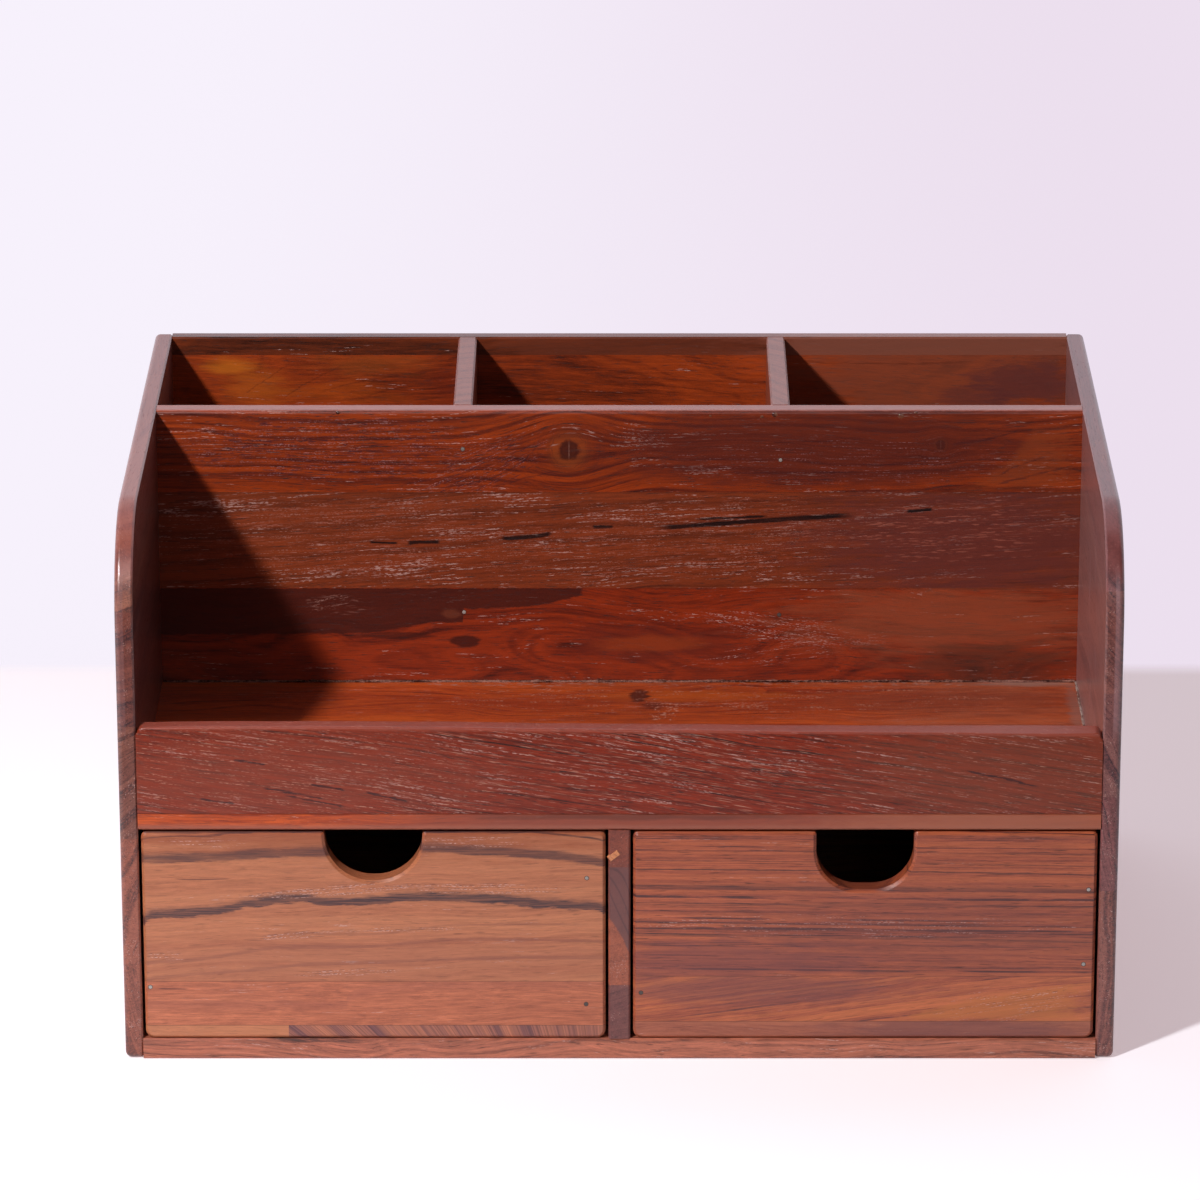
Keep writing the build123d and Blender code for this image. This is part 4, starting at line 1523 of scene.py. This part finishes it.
    def wall_middle(self) -> None:
        """Dresses the wall's middle strip: smooth, with rows of chalked pores and crisp black cracks."""
        cracks = tuple(
            Streak(points, above=above * 1.5, below=above * 0.9, strength=1.0, jag=0.4, shade="#0e090b",
                   fray=0.15, taper=0.12)
            for points, above in (
                (((-100, 160.5), (-88, 160)), 0.7), (((-85, 160), (-71, 160.6)), 0.9),
                (((-48, 162), (-36, 162.6), (-26, 164.4)), 1.2), (((-11, 167), (-2, 167)), 0.8),
                (((12, 166), (52, 169), (96, 172)), 1.3), (((30, 170), (60, 171.4)), 0.5),
                (((114, 173), (125, 174.4)), 0.9)))
        rows = tuple(
            Chalk(at, size, slope, share, dash=(0.85, 0.3), row=18, shade="#c88f80", strength=0.65)
            for at, size, slope, share in (
                ((-110, 162), (110, 26), 1, 0.5), ((-110, 171), (70, 9), 1, 0.4),
                ((20, 162), (110, 26), 4, 0.5), ((70, 166), (60, 12), 5, 0.4)))
        smears = tuple(
            Chalk(at, size, slope, share, dash=(3.4, 0.7), row=20, shade="#a9604e", strength=0.6)
            for at, size, slope, share in (
                ((-110, 166), (90, 22), 3, 0.6), ((20, 162), (110, 26), 5, 0.55),
                ((135, 166), (60, 20), 2, 0.9)))
        self.dress("tray_back_wall_strip_2", Teak(
            "teak, smooth with chalked pores", "#88391b", "#743017", "#461e17", pith=(0, 60, 90),
            tilt=(-3, 0), band=5, depth=0.6, line=0.3, pores=0.8, chalk=0.5, wander=6,
            features=(Stain((140, 160), (60, 24), "#66302c", 0.75, soft=1.2), *smears, *rows, *cracks,
                      *self.WALL_SEAMS[::-1])))

    def wall_foot(self) -> None:
        """Dresses the wall's bottom strip: fiery red, with dark filler pressed into its upper left, carried
        on to the left end as painted shade where the side panel's shadow falls.
        """
        # Dark filler over the upper left; the patch runs on to the left end, where the side panel's shadow
        # falls, and there its dark is partly painted shade.
        filler = Patch(((-196, 121), (-103, 121.5), (-90, 123.4), (-76, 126.1), (-62.7, 126.1),
                        (-62.2, 131.9), (-42, 132.5), (-28.6, 134), (-14, 138)),
                       ((-196, 141.5), (-14, 141.5)), "#3a1410", 0.85, edge=0.8, ends=2, ragged=0.6)
        self.dress("tray_back_wall_strip_1", Teak(
            "teak, fiery red", "#95300d", "#74220c", "#3f110b", pith=(0, -110, 30), band=2.5, depth=0.6,
            line=0.4, pores=0.8, chalk=0.3, wander=8,
            features=(Stain((14, 117.8), (30, 7.5), "#5e1d14", 0.6, soft=0.8, ragged=0.5),
                      Stain((13, 117.8), (19, 3.4), "#a54216", 0.5, soft=1.0, ragged=0.5), filler,
                      Stain((-67, 130), (3.4, 2.2), "#7a3c26", 0.5, soft=0.9, ragged=0.6),
                      Chalk((-112, 134), (20, 6), share=0.9, dash=(3.0, 0.8), row=10, shade="#7a4c42"),
                      Chalk((-116, 135), (14, 4), slope=12, share=0.8, shade="#a97b70"),
                      Chalk((66, 124), (50, 8), slope=-9, share=0.8),
                      Chalk((66, 114), (60, 8), slope=9, share=0.4),
                      Stain((-61.9, 118.7), (6, 2.4), "#340f0c", 0.85, soft=0.4, ragged=0.3, slope=-4),
                      Stain((-90, 121), (14, 1.4), "#340f0c", 0.7, soft=0.6),
                      Stain((135, 128), (60, 16), "#9c5236", 0.55, soft=1.2),
                      Stain((150, 108), (30, 9), "#4a2418", 0.6, soft=1.0), self.WALL_SEAMS[0])))

    def build(self) -> None:
        """Dresses every board."""
        self.lip()
        self.floor()
        self.wall_top()
        self.wall_middle()
        self.wall_foot()


@dataclass
class Shell(Assembly):
    """The case round the drawers and the tray: sides, bottom, post, back panel and partitions.

    A side's front edge shows from its inner arris to its outer rim, from the middle of the case.
    """

    ARRIS = 183.5
    RIM = 188.5

    def sides(self) -> None:
        """Dresses the side panels, strip by strip, with end grain at the front edge and painted light over
        them: painted shade on the left inner face and painted sheen on the right, painted shade on the upper
        rims, painted glare on the front edges and painted reflection streaks on the right inner face.
        """
        tones = {
            "left": (("#9b5440", "#814334", "#532d2b"), ("#9b5440", "#814334", "#482728"),
                     ("#834d3e", "#6f3c32", "#442524"), ("#7d4438", "#693730", "#3b2225"),
                     ("#955c4a", "#7d4739", "#482a2b")),
            "right": (("#93564a", "#79413a", "#4c2d31"), ("#8a504e", "#743f3e", "#43272f"),
                      ("#8a5650", "#744240", "#42272e"), ("#92584e", "#77433d", "#47292e"),
                      ("#8a504e", "#743f3e", "#43272f")),
        }
        # Painted reflection: pale upright streaks of varnish sheen on the right side's inner face.
        painted_gleam = Chalk((-60, 150), (60, 60), slope=82, share=0.9, dash=(16.0, 3.0), row=60, shade="#b8969a",
                      strength=0.5)
        # Each side: its way, its inner face's painted shade on the left and painted sheen on the right with
        # their strength, its painted rim shade, the strength of its painted glare, and its painted reflection
        # streaks.
        for side, way, shade, strength, top, painted_glare_strength, glints in (
                ("left", -1, "#4a3238", 0.7, "#964a3e", 0.12, ()),
                ("right", 1, "#b28c8a", 0.62, "#7c3c36", 0.3, (painted_gleam,))):
            inner, outer = way * self.ARRIS, way * self.RIM
            # Painted shade and sheen on a thin layer at the inner face: dark on the left side, which lies in
            # shade, and pale on the right, which catches a sheen.
            skin = straight_patch((inner - 0.3, inner + 0.3), (95, 218), shade, strength, edge=0.3,
                                  ragged=0.1, face=Face.END)
            # Painted shade: each side's upper rim darkened and reddened against the pale sheen it catches,
            # more on the right side.
            painted_rim_shade = straight_patch((-200, 200), (190, 240), top, 0.55, edge=9, ragged=0.3)
            # Painted highlight: a pale band of varnish glare down the outer part of each side's front edge,
            # stronger on the right.
            painted_glare = straight_patch((outer - 1.6, outer + 1.6), (128, 200), "#bd9497", painted_glare_strength, edge=12,
                                   ends=0.6, ragged=0.1, face=Face.END)
            for number, (light, mid, dark) in enumerate(tones[side], 1):
                self.dress(f"{side}_side_strip_{number}", Teak(
                    f"teak, {side} side strip {number}", light, mid, dark, grain=Grain.DEEP,
                    pith=(31.0 * number, 37.0 * number - 90, 40 + 9 * number),
                    tilt=(1.5 * (number % 3) - 1.5, 0), band=4 + number % 3 * 2, depth=0.8, line=0.6,
                    pores=0.8, chalk=0.45, gloss=0.5, features=(painted_rim_shade, skin, painted_glare, *glints)))

    def bays(self) -> None:
        """Dresses the bottom board and the post between the drawers."""
        self.dress("bottom_board", Teak(
            "teak, bottom board", "#c06e52", "#a25a44", "#60352b", pith=(40, 90, 40), band=4,
            depth=0.8, line=0.5, pores=0.6, chalk=0.4, wander=12))
        rings = tuple(
            Streak(points, above=1.6, below=0.8, strength=0.55, jag=0.2, fray=0.3, shade="#4a2a2e",
                   face=Face.END)
            for points in (((-4.3, 70), (-1, 62), (4.3, 50)), ((-4.3, 76), (0, 69), (4.3, 57)),
                           ((-2.5, 79), (1.5, 75), (4.3, 66))))
        purple = Patch(((-4.4, 59), (-2, 55), (1, 50), (4.4, 42)), ((-4.4, 81), (4.4, 81)), "#69403f", 0.85,
                       edge=1.6, ragged=0.5, face=Face.END)
        tones = (("#7b4741", "#6c3c3a", "#4a2a2c"), ("#a6573d", "#964e38", "#773e32"),
                 ("#8b4330", "#7a392c", "#562d27"))
        for number, (light, mid, dark) in enumerate(tones, 1):
            self.dress(f"centre_post_strip_{number}", Teak(
                f"teak, post strip {number}", light, mid, dark, grain=Grain.DEEP,
                pith=(20.0 * number, -60 - 20 * number, 8), band=6, depth=0.6, line=0.3, pores=0.5,
                chalk=0.3, features=(purple, *rings) if number == 2 else ()))

    def rack(self) -> None:
        """Dresses the back panel and the partitions."""
        tones = (("#98502c", "#7e3e24", "#44221a"), ("#a0562c", "#864222", "#4c2618"),
                 ("#94502e", "#7a3c24", "#42211a"), ("#9a5230", "#824024", "#48241a"),
                 ("#a84012", "#822e0e", "#471a0e"), ("#763014", "#602610", "#36160d"))
        arcs = tuple(
            Streak(points, above=0.6, below=0.4, strength=0.5, jag=0.6, fray=0.8, shade="#42180f", taper=0.2)
            for points in (((-156, 190), (-146, 196.7), (-134, 205.3)),
                           ((-140, 188), (-128, 196), (-112, 204)),
                           ((-128, 190), (-100.4, 197.6), (-75.3, 200.6), (-64, 201)),
                           ((-120, 187), (-100, 190), (-75.4, 191.5)),
                           ((-109.2, 188.1), (-88, 194), (-66, 196)),
                           ((-44, 203.4), (-40.4, 204.9), (-17, 203.2), (1.5, 200.6), (26.6, 197.1),
                            (60, 196)),
                           ((0, 209), (4.8, 209.6), (22.4, 207), (39.3, 203.6), (60.2, 201)),
                           ((-46, 197), (-40.4, 197.6), (-18.6, 197.1), (14.2, 195), (52.1, 190.2),
                            (62, 189)),
                           ((-40, 190), (-14, 188.5), (12, 189)), ((70, 207), (110, 204), (150, 206))))
        glow = tuple(
            Stain(at, size, shade, strength, soft, ragged)
            for at, size, shade, strength, soft, ragged in (
                ((-160, 203), (9, 3), "#d8781c", 0.5, 1.6, 0.6),
                ((-150, 194), (10, 7), "#c8641c", 0.4, 1.6, 0.6),
                ((-100, 204), (20, 4), "#8e4c1c", 0.35, 1.6, 0.8),
                ((-120, 192), (24, 4), "#b8540f", 0.3, 1.6, 0.8),
                ((-70, 196), (8, 8), "#6a1c0c", 0.4, 1.4, 0.6)))
        shown = {
            5: (*glow, Stain((132, 200), (60, 24), "#864632", 0.6, soft=0.9, ragged=0.5),
                Stain((166, 196), (20, 8), "#64302e", 0.7, soft=0.8, ragged=0.7),
                Stain((146, 190), (14, 5), "#64302e", 0.5, soft=0.8, ragged=0.7), *arcs),
            6: (Stain((128, 212), (72, 30), "#92523f", 0.85, soft=0.5, ragged=0.3),
                Stain((10, 212), (56, 30), "#783722", 0.6, soft=0.5, ragged=0.3)),
        }
        for number, (light, mid, dark) in enumerate(tones, 1):
            self.dress(f"back_panel_strip_{number}", Teak(
                f"teak, back strip {number}", light, mid, dark, pith=(43.0 * number, 90 - 57 * number, 35),
                tilt=(number % 2 * 2 - 1, 0), band=3 + number % 3, depth=0.7, line=0.4,
                pores=0.7, chalk=0.15, features=shown.get(number, ())))
        for side in ("left", "right"):
            for number in (1, 2):
                self.dress(f"{side}_partition_strip_{number}", Teak(
                    f"teak, {side} partition strip {number}", "#98503a", "#80402f", "#4d2924",
                    grain=Grain.UPRIGHT, pith=(20 * number, 30, 40), band=5, depth=0.5, line=0.2,
                    pores=0.4, chalk=0.1))

    def build(self) -> None:
        """Dresses every board."""
        self.sides()
        self.bays()
        self.rack()


@dataclass
class Fixings:
    """The brads that hold the boards, group by group, each on the body it was driven into."""

    groups: tuple[tuple[str, str], ...] = (
        ("left_side_brads", "case"), ("right_side_brads", "case"), ("tray_wall_brads", "case"),
        ("back_panel_brads", "case"), ("bottom_board_brads", "case"),
        ("left_drawer_brads", "left_drawer"), ("right_drawer_brads", "right_drawer"))

    def build(self) -> None:
        """Drives every group."""
        steel = BradSteel()
        shared = [steel.steel(), steel.filler()]
        for node, body in self.groups:
            flush = {"dome": 0.0, "wax_height": 0.0} if node == "bottom_board_brads" else {}
            Brads(node, body, **flush).build(shared)
            LOG.info("drove %s", node)


@dataclass
class Leftovers:
    """What the maker left behind: glue in the tray's corners, drips of varnish, a mended dent."""

    figure: FigureGroup

    def build(self) -> None:
        """Adds every piece, each placed from the boards it clings to."""
        wall_low, wall_high = (np.array(corner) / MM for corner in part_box("tray_back_wall_strip_1"))
        lip_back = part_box("tray_front_lip")[1][1] / MM
        glue = DriedGlue().finish()
        haze = DriedGlue("dried glue, hazy", "#b09a90", "#74483c").finish()
        foot = wall_low[2] + 0.2
        GlueLine("wall_glue_line", (wall_low[0] + 0.4, wall_low[1] - 0.15, foot),
                 (wall_high[0] - 0.4, wall_low[1] - 0.15, foot), radius=0.65).build(glue)
        GlueLine("right_corner_glue_line", (wall_high[0] - 0.2, lip_back + 1.0, foot),
                 (wall_high[0] - 0.2, wall_low[1] - 1.0, foot), radius=0.6, seed=11).build(haze)
        GlueLine("right_wall_glue_line", (wall_high[0] - 0.2, wall_low[1] - 0.1, foot + 1.0),
                 (wall_high[0] - 0.3, wall_low[1] - 0.1, foot + 34.0), radius=0.5, seed=15).build(haze)
        VarnishDrips().build(ThickVarnish().finish())
        pine = Teak("pine splinter under varnish", "#d58a5c", "#c4754a", "#a05a34", pith=(0, 20, 5),
                    tilt=(38, 0), band=2.0, depth=0.5, pores=0.2, chalk=0.0)
        Splinter().build(pine.finish(self.figure))


def main() -> None:
    """Builds and dresses the organizer, piece by piece."""
    logging.basicConfig(level=logging.INFO, format="%(message)s")
    Studio().build()
    shared = (FigureGroup(), Softening())
    for assembly in (Shell(*shared), Tray(*shared), Drawers(*shared)):
        assembly.build()
    Fixings().build()
    Leftovers(shared[0]).build()


if __name__ == "__main__":
    main()
